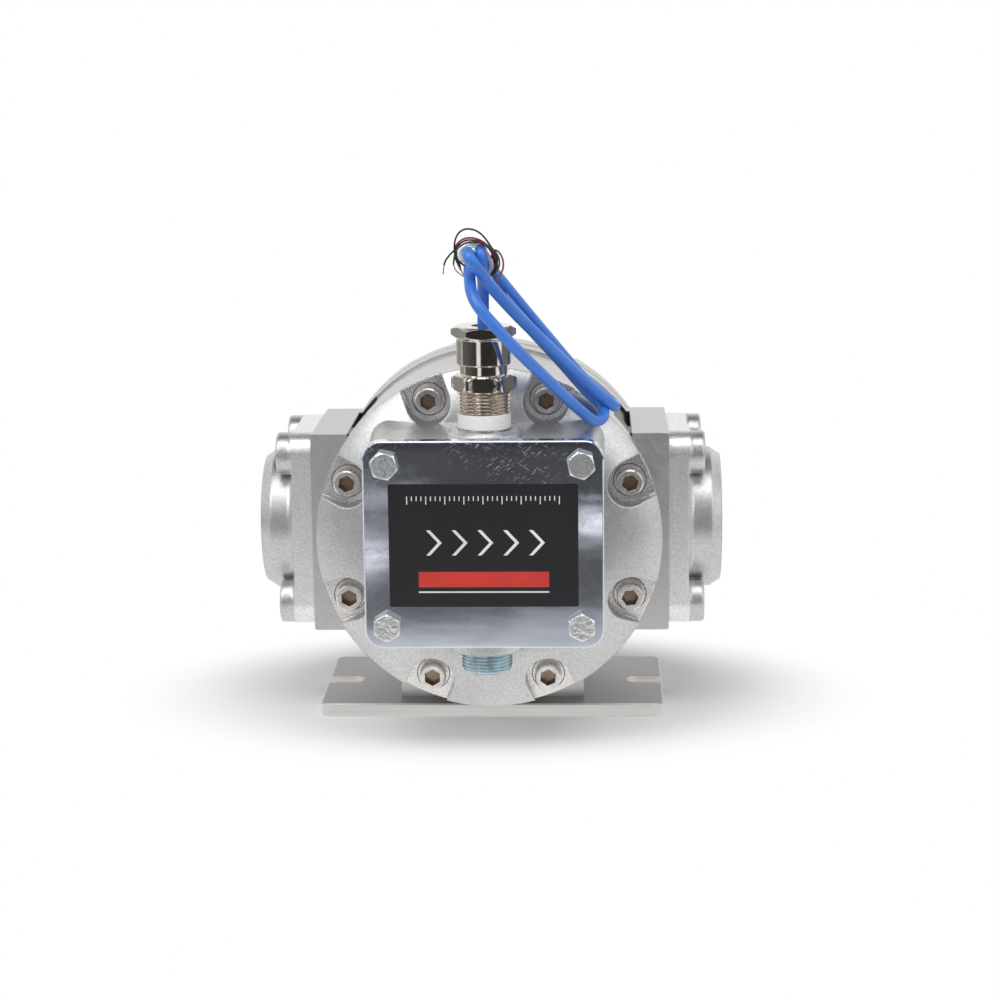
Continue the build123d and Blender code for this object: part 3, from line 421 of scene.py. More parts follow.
def make_materials():
    """Every material by its name."""
    return {
        "cast": cast_aluminium("cast_aluminium"),
        "flange": cast_aluminium("cast_flange", 0.9),
        "body": machined_aluminium(
            "machined_aluminium", MACHINED_DARK, MACHINED_LIGHT, (900, 900, 160), (0.32, 0.46),
            turn=0.9, pocket_shade=0.88,
        ),
        "plate": machined_aluminium(
            "plate_aluminium", PLATE_DARK, PLATE_LIGHT, (8, 900, 900), (0.40, 0.55),
            top_shade=0.42,
        ),
        "gear": machined_aluminium(
            "gear_aluminium", MACHINED_DARK, MACHINED_LIGHT, (300, 10, 300), (0.30, 0.42)
        ),
        "lid": lid_aluminium(),
        "steel": plated_metal("stainless_steel", (0.72, 0.68, 0.65), 0.17),
        "cap_screw": socket_screw_steel(),
        "lid_screw": plated_metal("zinc_steel", (0.90, 0.92, 0.91), 0.30, marks=1.0),
        "plug": plated_metal("blue_zinc_steel", (0.55, 0.68, 0.74), 0.22, 0.12 * MM),
        "nickel": plated_metal("nickel_brass", (0.80, 0.75, 0.69), 0.09, 0.4 * MM),
        "brass": plated_metal("worn_nickel_thread", (0.74, 0.66, 0.58), 0.12, 0.12 * MM),
        "magnet": plated_metal("magnet_plating", (0.5, 0.5, 0.51), 0.25),
        "rubber": moulded("black_rubber", (0.03, 0.03, 0.03), 0.62),
        "bushing": moulded("carbon_bushing", (0.07, 0.07, 0.08), 0.45),
        "tape": thread_tape_plastic(),
        "sensor": moulded("sensor_potting", (0.04, 0.04, 0.045), 0.35),
        "board": moulded("board_laminate", (0.03, 0.22, 0.08), 0.35),
        "terminal": moulded("terminal_plastic", (0.08, 0.34, 0.15), 0.5),
        "cable": jacket_plastic(),
        "black_wire": moulded("black_insulation", (0.02, 0.02, 0.02), 0.35),
        "red_wire": moulded("red_insulation", (0.24, 0.012, 0.028), 0.35),
        "green_wire": moulded("green_insulation", (0.01, 0.16, 0.08), 0.35),
        "white_wire": moulded("white_insulation", (0.94, 0.94, 0.94), 0.35),
        "tinned": plated_metal("tinned_copper", (0.6, 0.6, 0.58), 0.3),
        "label": moulded("label_black", (0.011, 0.011, 0.014), 0.48, 900, 0.05 * MM),
        "label_white": moulded("label_white", (0.80, 0.80, 0.80), 0.45),
        "label_red": moulded("label_red", (0.66, 0.035, 0.025), 0.45),
    }


NODE_MATERIALS = {
    "cast": ["front_cover", "rear_cover"],
    "flange": ["inlet_flange", "outlet_flange"],
    "body": ["body"],
    "plate": ["base_plate"],
    "gear": ["upper_oval_gear", "lower_oval_gear"],
    "lid": ["box_lid"],
    "cap_screw": ["front_cover_screws", "rear_cover_screws"],
    "steel": [
        "inlet_flange_screws",
        "outlet_flange_screws",
        "base_screws",
        "upper_shaft",
        "lower_shaft",
        "board_screws",
    ],
    "lid_screw": ["lid_screws"],
    "nickel": ["gland_sleeve", "gland_cap", "gland_nut", "board_standoffs"],
    "magnet": ["gear_magnets"],
    "rubber": [
        "front_cover_o_ring",
        "rear_cover_o_ring",
        "inlet_flange_o_ring",
        "outlet_flange_o_ring",
        "gland_seal",
        "lid_gasket",
    ],
    "bushing": ["upper_gear_bushings", "lower_gear_bushings"],
    "sensor": ["pulse_sensors"],
    "board": ["sensor_board"],
    "terminal": ["terminal_block"],
    "cable": ["inner_cable"],
    "red_wire": ["inner_leads"],
}


def dress_nodes():
    """Gives each CAD node its material."""
    for material, names in NODE_MATERIALS.items():
        for name in names:
            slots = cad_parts[name].data.materials
            slots.clear()
            slots.append(MATERIALS[material])


# Pieces


def add_piece(name, mesh, material, replaced=()):
    """A piece of the meter from a mesh that is already in place."""
    piece = bpy.data.objects.new(name, mesh)
    bpy.context.scene.collection.objects.link(piece)
    mesh.materials.append(MATERIALS[material])
    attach(piece, METER)
    if replaced:
        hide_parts(*replaced)
    return piece


# Points to a ring, and the angle over which an edge stays sharp
SEGMENTS = 96
THREAD_SEGMENTS = 144
CREASE = radians(32)


def finished_mesh(name, work, smooth):
    """The mesh of a bmesh, with its faces turned outward."""
    bmesh.ops.recalc_face_normals(work, faces=work.faces)
    mesh = bpy.data.meshes.new(name)
    work.to_mesh(mesh)
    work.free()
    for face in mesh.polygons:
        face.use_smooth = smooth
    return mesh


def join_rings(work, loops):
    """A band of faces between each ring of points and the next."""
    for near, far in zip(loops, loops[1:]):
        for step in range(len(near)):
            after = (step + 1) % len(near)
            work.faces.new((near[step], near[after], far[after], far[step]))


def ring_mesh(name, rings, place, segments=SEGMENTS):
    """A closed surface round a vertical axis at `place`, from rings of points from end to end.

    A ring is (radius, height), where each is a number or a function of the angle. The first and
    the last ring are closed with a face.
    """
    work = bmesh.new()
    loops = []
    for radius, height in rings:
        loop = []
        for step in range(segments):
            angle = tau * step / segments
            reach = radius(angle) if callable(radius) else radius
            rise = height(angle) if callable(height) else height
            point = place + Vector((reach * cos(angle), reach * sin(angle), rise)) * MM
            loop.append(work.verts.new(point))
        loops.append(loop)
    join_rings(work, loops)
    work.faces.new(list(reversed(loops[0])))
    work.faces.new(loops[-1])
    mesh = finished_mesh(name, work, True)
    mesh.set_sharp_from_angle(angle=CREASE)
    return mesh


def hexagon(across):
    """Radius of a hexagon at an angle, from its width across the flats."""
    def radius(angle):
        sector = pi / 3
        return across / 2 / cos(angle % sector - sector / 2)
    return radius


def thread_wave(height, pitch, angle):
    """A thread's wave, which goes from 0 to 1 and back over each pitch."""
    phase = height / pitch - angle / tau
    return abs(2 * (phase - floor(phase + 0.5)))


# Conduit thread: the steps are rings to a pitch, and the flank is a wave's slope and offset
THREAD_PITCH = 1.81
THREAD_DEPTH = 1.15
THREAD_STEPS = 10
THREAD_FLANK = (1.55, -0.36)
RUNOUT_SHARE = 0.9


def thread_rings(crest, low, high, ends=(True, True)):
    """Rings of a tapered pipe thread from `low` to `high`, which runs round as a helix."""
    count = round((high - low) / THREAD_PITCH * THREAD_STEPS)
    rings = []
    for step in range(count + 1):
        height = low + (high - low) * step / count
        runout = 1.0
        if ends[0]:
            runout = min(runout, (height - low) / THREAD_PITCH)
        if ends[1]:
            runout = min(runout, (high - height) / THREAD_PITCH)

        def radius(angle, height=height, runout=runout):
            slope, offset = THREAD_FLANK
            wave = thread_wave(height, THREAD_PITCH, angle)
            cut = THREAD_DEPTH * min(1.0, max(0.0, slope * wave + offset))
            return crest - max(cut, THREAD_DEPTH * (1 - runout) * RUNOUT_SHARE)

        rings.append((radius, height))
    return rings


# Thread in the ports, from the inner to the outer end of its sleeve
PORT_PITCH = 2.21
PORT_WALL = 28.45
PORT_THREAD_DEPTH = 1.15
PORT_THREAD_SEAT = 0.12
PORT_THREAD_STEPS = 8
PORT_THREAD_FLANK = (1.4, -0.2)
PORT_THREAD_ENDS = (99.0, 123.0)


def port_thread_radius(along, angle):
    """Radius of the ports' thread at a place along it."""
    inner, outer = PORT_THREAD_ENDS
    slope, offset = PORT_THREAD_FLANK
    runout = min(1.0, (outer - along) / PORT_PITCH, (along - inner) / PORT_PITCH)
    crest = min(1.0, max(0.0, slope * thread_wave(along, PORT_PITCH, angle) + offset))
    return PORT_WALL - PORT_THREAD_SEAT - PORT_THREAD_DEPTH * crest * runout


def port_threads():
    """Pipe threads inside both ports, as thin sleeves with a helical groove."""
    inner, outer = PORT_THREAD_ENDS
    count = round((outer - inner) / PORT_PITCH * PORT_THREAD_STEPS)
    places = [inner + (outer - inner) * step / count for step in range(count + 1)]

    def wall_radius(along, angle):
        return PORT_WALL

    profile = [(along, port_thread_radius) for along in places]
    profile = [(inner, wall_radius)] + profile + [(outer, wall_radius)]
    for name, side in (("inlet_thread", -1), ("outlet_thread", 1)):
        work = bmesh.new()
        loops = []
        for along, radius_at in profile:
            loop = []
            for step in range(SEGMENTS):
                angle = tau * step / SEGMENTS
                radius = radius_at(along, angle)
                point = at(side * along, radius * cos(angle), radius * sin(angle))
                loop.append(work.verts.new(point))
            loops.append(loop)
        join_rings(work, loops + loops[:1])
        add_piece(name, finished_mesh(name, work, True), "gear")


# Gland, plug and tape, with heights over the meter axis
GLAND_BORE = 4.6
GLAND_FOOT = 53.2
GLAND_SHANK = 12.2
GLAND_THREAD = (60.0, 85.8)
GLAND_THREAD_CREST = 13.4
GLAND_NECK = ((12.0, 85.85), (12.0, 85.9), (13.9, 85.9))
GLAND_HEX_ACROSS = 29.2
GLAND_TOP_BORE = 8.0
# The hexagon and its rounded ends: the widest it gets, as a share of the width across its flats,
# and the height
GLAND_HEX = ((0.97, 85.9), (1.06, 86.6), (1.16, 87.8), (1.16, 92.6), (1.06, 93.8), (0.97, 94.5))


def gland_parts():
    """The gland's threaded body, in place of its plain solid."""
    thread = thread_rings(GLAND_THREAD_CREST, *GLAND_THREAD, ends=(True, False))
    foot = [(GLAND_BORE, GLAND_FOOT), (GLAND_SHANK, GLAND_FOOT), (GLAND_SHANK, GLAND_THREAD[0])]
    flat = hexagon(GLAND_HEX_ACROSS)

    def turned(share):
        return lambda angle: min(flat(angle), GLAND_HEX_ACROSS / 2 * share)

    corners = [(turned(share), height) for share, height in GLAND_HEX]
    rings = foot + thread + [*GLAND_NECK] + corners + [(GLAND_TOP_BORE, GLAND_HEX[-1][1])]
    mesh = ring_mesh("gland_body_threaded", rings, at(0, -GLAND_DEPTH, 0), THREAD_SEGMENTS)
    add_piece("gland_body_threaded", mesh, "brass", ["gland_body"])


PLUG_SOCKET_ACROSS = 14.0
PLUG_SOCKET = (-53.2, -61.2)
PLUG_RIM = ((11.6, -61.2), (12.1, -60.9))
PLUG_THREAD = (-60.6, -44.0)
PLUG_THREAD_CREST = 13.1
PLUG_END = ((11.5, -43.0), (11.5, -41.2))


def plug_part():
    """The threaded plug in the lower hub, with its socket."""
    across = hexagon(PLUG_SOCKET_ACROSS)
    socket = [(across, height) for height in PLUG_SOCKET]
    rings = socket + [*PLUG_RIM] + thread_rings(PLUG_THREAD_CREST, *PLUG_THREAD) + [*PLUG_END]
    mesh = ring_mesh("conduit_plug_threaded", rings, at(0, -GLAND_DEPTH, 0), THREAD_SEGMENTS)
    add_piece("conduit_plug_threaded", mesh, "plug", ["conduit_plug"])


TAPE_BORE = 13.0
TAPE_FOOT = 67.0
TAPE_FOLD_PITCH = 0.62
TAPE_FOLDS = 10


def uneven(value, amount, seed):
    """A value that wanders a little round the tape."""
    def sampled(angle):
        spot = Vector((cos(angle) * 2.2, sin(angle) * 2.2, seed))
        return value + amount * value_noise.noise(spot)
    return sampled


def tape_part():
    """Sealing tape wound round the thread, with uneven edges."""
    wound = TAPE_FOOT + 0.8
    rings = [(TAPE_BORE, TAPE_FOOT)]
    rings += [(uneven(13.45, 0.10, 1), uneven(67.1, 0.12, 2)), (uneven(13.6, 0.04, 3), wound)]
    for step in range(1, TAPE_FOLDS + 1):
        rings.append((uneven(13.58, 0.08, 3 + step), wound + step * TAPE_FOLD_PITCH))
    rings += [(uneven(13.5, 0.10, 20), uneven(74.6, 0.35, 21))]
    rings += [(TAPE_BORE, uneven(74.5, 0.3, 22))]
    mesh = ring_mesh("thread_tape_wound", rings, at(0, -GLAND_DEPTH, 0))
    add_piece("thread_tape_wound", mesh, "tape", ["thread_tape"])


# Label: a generic flow-direction panel with no words, its middle as a rise over the meter axis
LABEL_WIDTH = 95.7
LABEL_HEIGHT = 63.3
LABEL_CORNER = 1.0
LABEL_THICKNESS = 0.38
LABEL_PRINT = 0.02
LABEL_CENTRE_RISE = 11.0
LID_FACE_DEPTH = 125.0


def label_prism(name, outlines, low, high, material):
    """Flat pieces on the lid's face, from outlines of (x, rise) about the label's middle."""
    work = bmesh.new()
    for outline in outlines:
        faces = []
        for depth in (low, high):
            face_y = -(LID_FACE_DEPTH + depth)
            corners = [at(x, face_y, LABEL_CENTRE_RISE + z) for x, z in outline]
            faces.append([work.verts.new(corner) for corner in corners])
        back, front = faces
        work.faces.new(front)
        work.faces.new(list(reversed(back)))
        join_rings(work, [back, front])
    return add_piece(name, finished_mesh(name, work, False), material)


def rounded(width, height, radius, steps=6):
    """Corners of a rectangle with round corners, about the middle."""
    points = []
    for quarter, (side, end) in enumerate(((1, 1), (-1, 1), (-1, -1), (1, -1))):
        for step in range(steps + 1):
            angle = pi / 2 * (quarter + step / steps)
            x = side * (width / 2 - radius) + radius * cos(angle)
            z = end * (height / 2 - radius) + radius * sin(angle)
            points.append((x, z))
    return points


def bar(x, z, width, height):
    """Corners of a rectangle round its middle."""
    return [
        (x - width / 2, z - height / 2),
        (x + width / 2, z - height / 2),
        (x + width / 2, z + height / 2),
        (x - width / 2, z + height / 2),
    ]


# The label's print, about its middle: a scale, chevrons, and (x, z, width, height) of two bars
TICK_SIDE_COUNT = 16
TICK_PITCH = 2.4
TICK_WIDTH = 0.5
TICK_TOP = 25.45
TICK_HEIGHTS = (2.4, 4.2)
TALL_TICK_EVERY = 4
CHEVRON_SIDE_COUNT = 2
CHEVRON_PITCH = 13.0
CHEVRON_ARM = 6.5
CHEVRON_REACH = 6.0
CHEVRON_THICKNESS = 2.0
CHEVRON_RISE = 1.5
BAND = (0, -17.5, 66.0, 8.0)
RULE = (0, -24.0, 66.0, 0.8)


def chevron(x):
    """Outline of an arrow head that points to +X."""
    back, tip = x - CHEVRON_REACH / 2, x + CHEVRON_REACH / 2
    low, middle, high = CHEVRON_RISE - CHEVRON_ARM, CHEVRON_RISE, CHEVRON_RISE + CHEVRON_ARM
    return [
        (back, high), (back + CHEVRON_THICKNESS, high), (tip + CHEVRON_THICKNESS, middle),
        (back + CHEVRON_THICKNESS, low), (back, low), (tip, middle),
    ]


def label_parts():
    """The black label, with flow chevrons, a tick scale and a red band over a fine rule."""
    outline = rounded(LABEL_WIDTH, LABEL_HEIGHT, LABEL_CORNER)
    plate = label_prism("label_plate", [outline], 0.0, LABEL_THICKNESS, "label")
    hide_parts("lid_label")
    low, high = LABEL_THICKNESS, LABEL_THICKNESS + LABEL_PRINT
    ticks = []
    for place in range(-TICK_SIDE_COUNT, TICK_SIDE_COUNT + 1):
        tall = TICK_HEIGHTS[place % TALL_TICK_EVERY == 0]
        ticks.append(bar(place * TICK_PITCH, TICK_TOP - tall / 2, TICK_WIDTH, tall))
    label_prism("label_ticks", ticks, low, high, "label_white")
    places = range(-CHEVRON_SIDE_COUNT, CHEVRON_SIDE_COUNT + 1)
    chevrons = [chevron(place * CHEVRON_PITCH) for place in places]
    label_prism("label_chevrons", chevrons, low, high, "label_white")
    label_prism("label_band", [bar(*BAND)], low, high, "label_red")
    label_prism("label_rule", [bar(*RULE)], low, high, "label_white")


# Signal cable: up out of the gland, folded over, and twice down to the foot of its hank
CABLE_DIAMETER = 6.0
CABLE_POINTS = [
    (0.0, -97.0, 119.1),
    (0.0, -97.0, 130.1),
    (0.3, -98.0, 138.4),
    (0.2, -101.0, 145.1),
    (-0.3, -104.0, 154.7),
    (-1.0, -100.5, 158.2),
    (-1.0, -95.5, 158.2),
    (-0.3, -92.0, 154.7),
    (2.2, -91.6, 150.1),
    (5.4, -90.5, 145.4),
    (10.6, -89.0, 138.9),
    (17.3, -84.0, 129.7),
    (26.1, -77.5, 117.9),
    (35.9, -70.5, 105.0),
    (47.7, -62.5, 89.4),
    (55.5, -58.5, 81.4),
    (62.1, -56.8, 75.6),
    (64.9, -57.2, 73.1),
    (66.9, -60.2, 71.4),
    (66.8, -64.8, 71.9),
    (64.5, -68.0, 74.4),
    (60.4, -69.5, 77.8),
    (53.9, -72.5, 83.9),
    (45.8, -76.5, 92.2),
    (35.0, -85.0, 104.5),
    (23.5, -92.0, 116.8),
    (13.6, -99.0, 128.1),
    (4.0, -106.5, 140.3),
    (-1.1, -112.0, 148.6),
    (-5.3, -114.8, 154.3),
    (-7.0, -111.4, 157.2),
    (-7.0, -106.6, 157.2),
    (-5.3, -103.2, 154.3),
    (-6.5, -102.6, 149.1),
    (-6.1, -107.0, 143.3),
    (-5.3, -113.5, 138.4),
    (-2.9, -118.5, 133.3),
    (1.4, -121.0, 127.8),
    (6.9, -121.5, 121.6),
    (13.9, -119.0, 113.2),
    (21.2, -114.0, 104.8),
    (28.8, -107.0, 96.2),
    (36.5, -99.0, 87.3),
    (45.1, -91.0, 77.6),
    (52.0, -84.5, 70.4),
    (56.1, -79.0, 66.5),
    (60.0, -74.5, 66.4),
    (61.6, -68.5, 69.7),
    (59.3, -64.0, 73.6),
    (53.9, -65.2, 78.4),
    (47.4, -68.2, 86.2),
    (40.5, -73.6, 95.3),
    (32.1, -78.4, 105.2),
    (24.1, -84.6, 115.1),
    (15.9, -89.6, 125.3),
    (9.8, -93.6, 133.4),
]


def add_curve(name, points, diameter, material):
    """A round cord along a smooth curve with these control points."""
    data = bpy.data.curves.new(name, "CURVE")
    data.dimensions = "3D"
    data.bevel_depth = diameter / 2 * MM
    data.bevel_resolution = 6
    data.resolution_u = 10
    data.use_fill_caps = True
    spline = data.splines.new("NURBS")
    spline.points.add(len(points) - 1)
    for control, point in zip(spline.points, points):
        control.co = (*at(*point), 1)
    spline.order_u = 3
    spline.use_endpoint_u = True
    data.materials.append(MATERIALS[material])
    piece = bpy.data.objects.new(name, data)
    bpy.context.scene.collection.objects.link(piece)
    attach(piece, METER)
    return piece


WIRE_DIAMETER = 0.95
WHITE_WIRE_DIAMETER = 1.3
JACKET_END = [CABLE_POINTS[-1], (6.6, -93.6, 138.2)]
# Stripped wires after the jacket's end: a name that starts with the material's, and the points
WIRE_ROUTES = {
    "black_wire": [
        (3.4, -95.0, 144.0), (5.4, -98.6, 146.6), (7.7, -102.0, 150.6), (7.7, -104.0, 154.4),
        (5.6, -105.0, 158.2), (3.2, -105.0, 162.0), (0.9, -104.0, 165.0), (-2.2, -103.0, 167.4),
        (-5.4, -102.5, 168.4), (-8.6, -102.5, 168.4), (-11.4, -103.0, 166.8),
        (-13.0, -104.0, 164.2), (-13.7, -105.0, 160.8), (-13.6, -105.5, 157.4),
        (-12.6, -104.8, 154.0), (-10.4, -103.0, 151.0), (-7.6, -101.0, 148.9),
        (-4.8, -98.6, 147.6), (-2.6, -96.6, 147.8),
    ],
    "black_wire_end": [
        (3.6, -94.6, 144.2), (6.4, -97.5, 151.0), (4.2, -100.6, 158.2), (-0.6, -102.2, 161.6),
        (-6.0, -102.6, 162.0), (-10.4, -102.8, 160.2), (-13.2, -103.6, 158.2),
        (-15.2, -105.0, 156.7), (-16.9, -106.4, 154.8), (-18.3, -107.4, 152.8),
        (-18.8, -108.0, 150.9),
    ],
    "red_wire": [
        (3.8, -94.4, 144.4), (7.0, -97.0, 149.6), (6.2, -100.6, 155.6), (3.2, -103.0, 160.2),
        (-0.6, -104.6, 163.0), (-4.8, -105.3, 164.4), (-9.0, -105.3, 163.9),
        (-12.2, -104.8, 161.6), (-13.7, -104.2, 158.0), (-13.5, -103.6, 154.2),
        (-12.2, -103.2, 151.0), (-10.6, -103.0, 147.8),
    ],
    "red_wire_inner": [
        (3.7, -95.2, 143.8), (7.8, -98.4, 148.4), (7.2, -101.8, 153.8), (4.0, -103.6, 158.4),
        (0.2, -104.6, 161.8), (-4.4, -105.0, 163.2), (-8.4, -104.6, 162.9), (-11.6, -103.8, 160.8),
        (-12.9, -103.0, 157.6), (-12.6, -102.4, 153.8), (-11.4, -102.4, 151.0),
        (-10.9, -102.6, 148.8),
    ],
    "red_wire_front": [
        (3.2, -94.2, 144.8), (4.6, -97.0, 151.4), (4.9, -101.6, 156.4), (6.2, -106.0, 158.2),
        (8.4, -108.6, 157.9), (10.2, -110.4, 155.6), (11.1, -111.8, 152.6), (11.0, -112.6, 149.6),
        (9.9, -113.6, 147.0), (8.6, -114.6, 145.2), (7.6, -115.2, 143.9),
    ],
    "green_wire": [
        (3.1, -95.2, 143.6), (6.6, -98.8, 145.9), (8.6, -102.0, 149.2), (8.9, -104.2, 152.8),
        (7.6, -105.2, 156.4), (4.9, -105.0, 159.4), (1.0, -104.0, 161.2), (-3.4, -103.6, 162.0),
        (-7.4, -103.8, 161.8), (-10.8, -104.4, 160.2), (-13.0, -104.8, 157.6),
        (-14.0, -105.0, 154.2), (-14.2, -105.0, 150.8),
    ],
    "white_wire": [
        (3.0, -94.6, 144.5), (4.6, -96.8, 150.6), (2.8, -98.8, 156.4), (-0.8, -100.2, 160.0),
        (-4.4, -102.0, 161.1), (-7.8, -104.4, 160.6), (-10.2, -106.4, 159.2),
        (-11.6, -107.4, 157.0), (-11.4, -107.4, 154.6), (-9.8, -106.4, 152.4),
        (-7.4, -104.4, 151.0),
    ],
    "white_wire_inner": [
        (3.5, -95.6, 143.7), (5.6, -98.2, 149.4), (3.4, -99.6, 155.4), (-0.6, -100.8, 158.8),
        (-4.6, -102.4, 159.9), (-8.0, -104.8, 159.2), (-10.0, -106.4, 157.4),
        (-10.2, -106.8, 155.2), (-8.6, -106.0, 153.2),
    ],
}
# Their stripped and tinned ends
BARE_ENDS = {
    "black_wire_end": [(-19.2, -108.3, 148.6), (-19.2, -108.5, 146.4)],
    "green_wire": [(-13.4, -105.0, 148.0), (-11.6, -105.0, 146.4), (-9.4, -105.0, 144.8)],
    "red_wire": [(-9.8, -103.0, 146.0), (-8.9, -103.0, 144.6)],
}
BARE_DIAMETER = 0.7


def stripped_wires():
    """The stripped wires, coiled round the hank's top from the jacket's end."""
    pieces = []
    for name, points in WIRE_ROUTES.items():
        color = "_".join(name.split("_")[:2])
        width = WHITE_WIRE_DIAMETER if color == "white_wire" else WIRE_DIAMETER
        pieces.append(add_curve(name, JACKET_END + points, width, color))
    for name, points in BARE_ENDS.items():
        route = [WIRE_ROUTES[name][-1]] + points
        add_curve(name + "_bare", route, BARE_DIAMETER, "tinned")
    return pieces


def length_of(piece):
    """Length of a curve's own line, in metres."""
    line = bpy.data.objects.new("measured", piece.data.copy())
    line.data.bevel_depth = 0
    mesh = bpy.data.meshes.new_from_object(line)
    total = sum(
        (mesh.vertices[edge.vertices[0]].co - mesh.vertices[edge.vertices[1]].co).length
        for edge in mesh.edges
    )
    bpy.data.meshes.remove(mesh)
    data = line.data
    bpy.data.objects.remove(line)
    bpy.data.curves.remove(data)
    return total


def make_cables():
    """The signal cable and its stripped wires, in place of their plain solids."""
    cable = add_curve("blue_cable", CABLE_POINTS, CABLE_DIAMETER, "cable")
    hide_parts("signal_cable", "cable_hank")
    wires = stripped_wires()
    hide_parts("stripped_wires")
    for wire in wires:
        length_of(wire)


# Floor, backdrop and light


def add_light(name, place, target, width, height, power):
    """A soft box that faces its target."""
    data = bpy.data.lights.new(name, "AREA")
    data.shape = "RECTANGLE"
    data.size = width
    data.size_y = height
    data.energy = power
    light = bpy.data.objects.new(name, data)
    bpy.context.scene.collection.objects.link(light)
    direction = Vector(target) - Vector(place)
    light.matrix_world = (
        Matrix.Translation(place) @ direction.to_track_quat("-Z", "Y").to_matrix().to_4x4()
    )


FLOOR_HALF = 6.0
FLOOR_PAPER = (0.93, 0.93, 0.93, 1)
# The shadow fades to white between these distances, where X counts for less
FLOOR_SHADOW_REACH = (0.085, 0.15)
FLOOR_SHADOW_X_SHARE = 0.7
# Painted reflections that polished metal sees on the floor: (Y in metres, brightness), everywhere
# and then at the sides, where painted reflections of bright cards are added
FLOOR_MIRRORED = (
    (-1.04, 0.10), (-0.87, 0.07), (-0.70, 0.07), (-0.56, 0.10), (-0.46, 0.14), (-0.42, 0.17),
    (-0.395, 0.30), (-0.384, 0.46), (-0.36, 0.52), (-0.34, 0.75), (-0.20, 0.90),
)
LEFT_CARDS = (
    (-0.86, 0.0), (-0.836, 0.04), (-0.828, 1.10), (-0.810, 1.00), (-0.800, 0.25), (-0.780, 0.04),
    (-0.74, 0.04), (-0.712, 0.13), (-0.68, 0.20), (-0.64, 0.32), (-0.622, 0.42), (-0.618, 0.00),
    (-0.613, 1.20), (-0.588, 1.20), (-0.574, 0.75), (-0.56, 0.32), (-0.54, 0.20), (-0.50, 0.10),
    (-0.46, 0.02), (-0.43, 0.0),
)
BOTTOM_CARDS = ((-0.47, 0.0), (-0.445, 0.15), (-0.41, 0.20), (-0.395, 0.06), (-0.37, 0.0))
RIGHT_CARDS = (
    (-0.80, 0.0), (-0.775, 0.08), (-0.757, 0.40), (-0.748, 1.10), (-0.70, 1.20), (-0.684, 1.00),
    (-0.670, 0.36), (-0.655, 0.26), (-0.632, 0.24), (-0.618, 0.04), (-0.59, 0.0), (-0.43, 0.0),
)
# Each set of cards, with the X where it starts and the X where it is full
FLOOR_CARDS = (
    (LEFT_CARDS, -0.075, -0.095), (RIGHT_CARDS, 0.028, 0.048), (BOTTOM_CARDS, 0.003, 0.011)
)
# Beyond this distance upright metal sees painted strip lights: (angle round from the camera,
# brightness)
FAR_FLOOR = (0.90, 0.97)
STRIPS = (
    (-3.1416, 0.60), (-2.20, 0.32), (-1.92, 0.30), (-1.80, 0.60), (-1.62, 0.12), (-0.52, 0.05),
    (-0.42, 1.00), (-0.24, 1.00), (-0.15, 0.03), (1.03, 0.03), (1.15, 1.00), (1.40, 1.00),
    (1.52, 0.16), (2.30, 0.16), (3.1416, 0.50),
)


def color_steps(tree, value, low, high, steps, interpolation="B_SPLINE"):
    """A run of colours over a value, from (value, grey or colour) pairs."""
    ranged = tree.nodes.new("ShaderNodeMapRange")
    ranged.inputs["From Min"].default_value = low
    ranged.inputs["From Max"].default_value = high
    tree.links.new(value, ranged.inputs["Value"])
    ramp = tree.nodes.new("ShaderNodeValToRGB")
    ramp.color_ramp.interpolation = interpolation
    stops = ramp.color_ramp.elements
    for place, _ in steps[1:-1]:
        stops.new((place - low) / (high - low))
    in_order = sorted(stops, key=lambda stop: stop.position)
    for stop, (_, grey) in zip(in_order, steps):
        stop.color = grey if isinstance(grey, tuple) else (grey, grey, grey, 1)
    tree.links.new(ranged.outputs["Result"], ramp.inputs["Fac"])
    return ramp.outputs["Color"]


def mirrored_floor(shader, parts):
    """The brightness of the floor as polished metal sees it."""
    tree = shader.tree
    low, high = FLOOR_MIRRORED[0][0], FLOOR_MIRRORED[-1][0]
    greys = color_steps(tree, parts["Y"], low, high, FLOOR_MIRRORED, "EASE")
    for cards, clear_x, full_x in FLOOR_CARDS:
        card = color_steps(tree, parts["Y"], cards[0][0], cards[-1][0], cards, "EASE")
        greys = shader.mix(shader.fit(parts["X"], clear_x, full_x), greys, card, "ADD")
    forward = shader.math("SUBTRACT", -GLAND_DEPTH * MM, parts["Y"])
    around = shader.math("ARCTAN2", parts["X"], forward)
    strips = color_steps(tree, around, STRIPS[0][0], STRIPS[-1][0], STRIPS, "EASE")
    far = shader.fit(shader.reach(parts["X"], forward), *FAR_FLOOR)
    return shader.mix(far, greys, strips)


def blend(tree, share, first, second):
    """One surface shader that goes over into another."""
    made = tree.nodes.new("ShaderNodeMixShader")
    for socket, value in zip(made.inputs, (share, first, second)):
        tree.links.new(value, socket)
    return made.outputs[0]


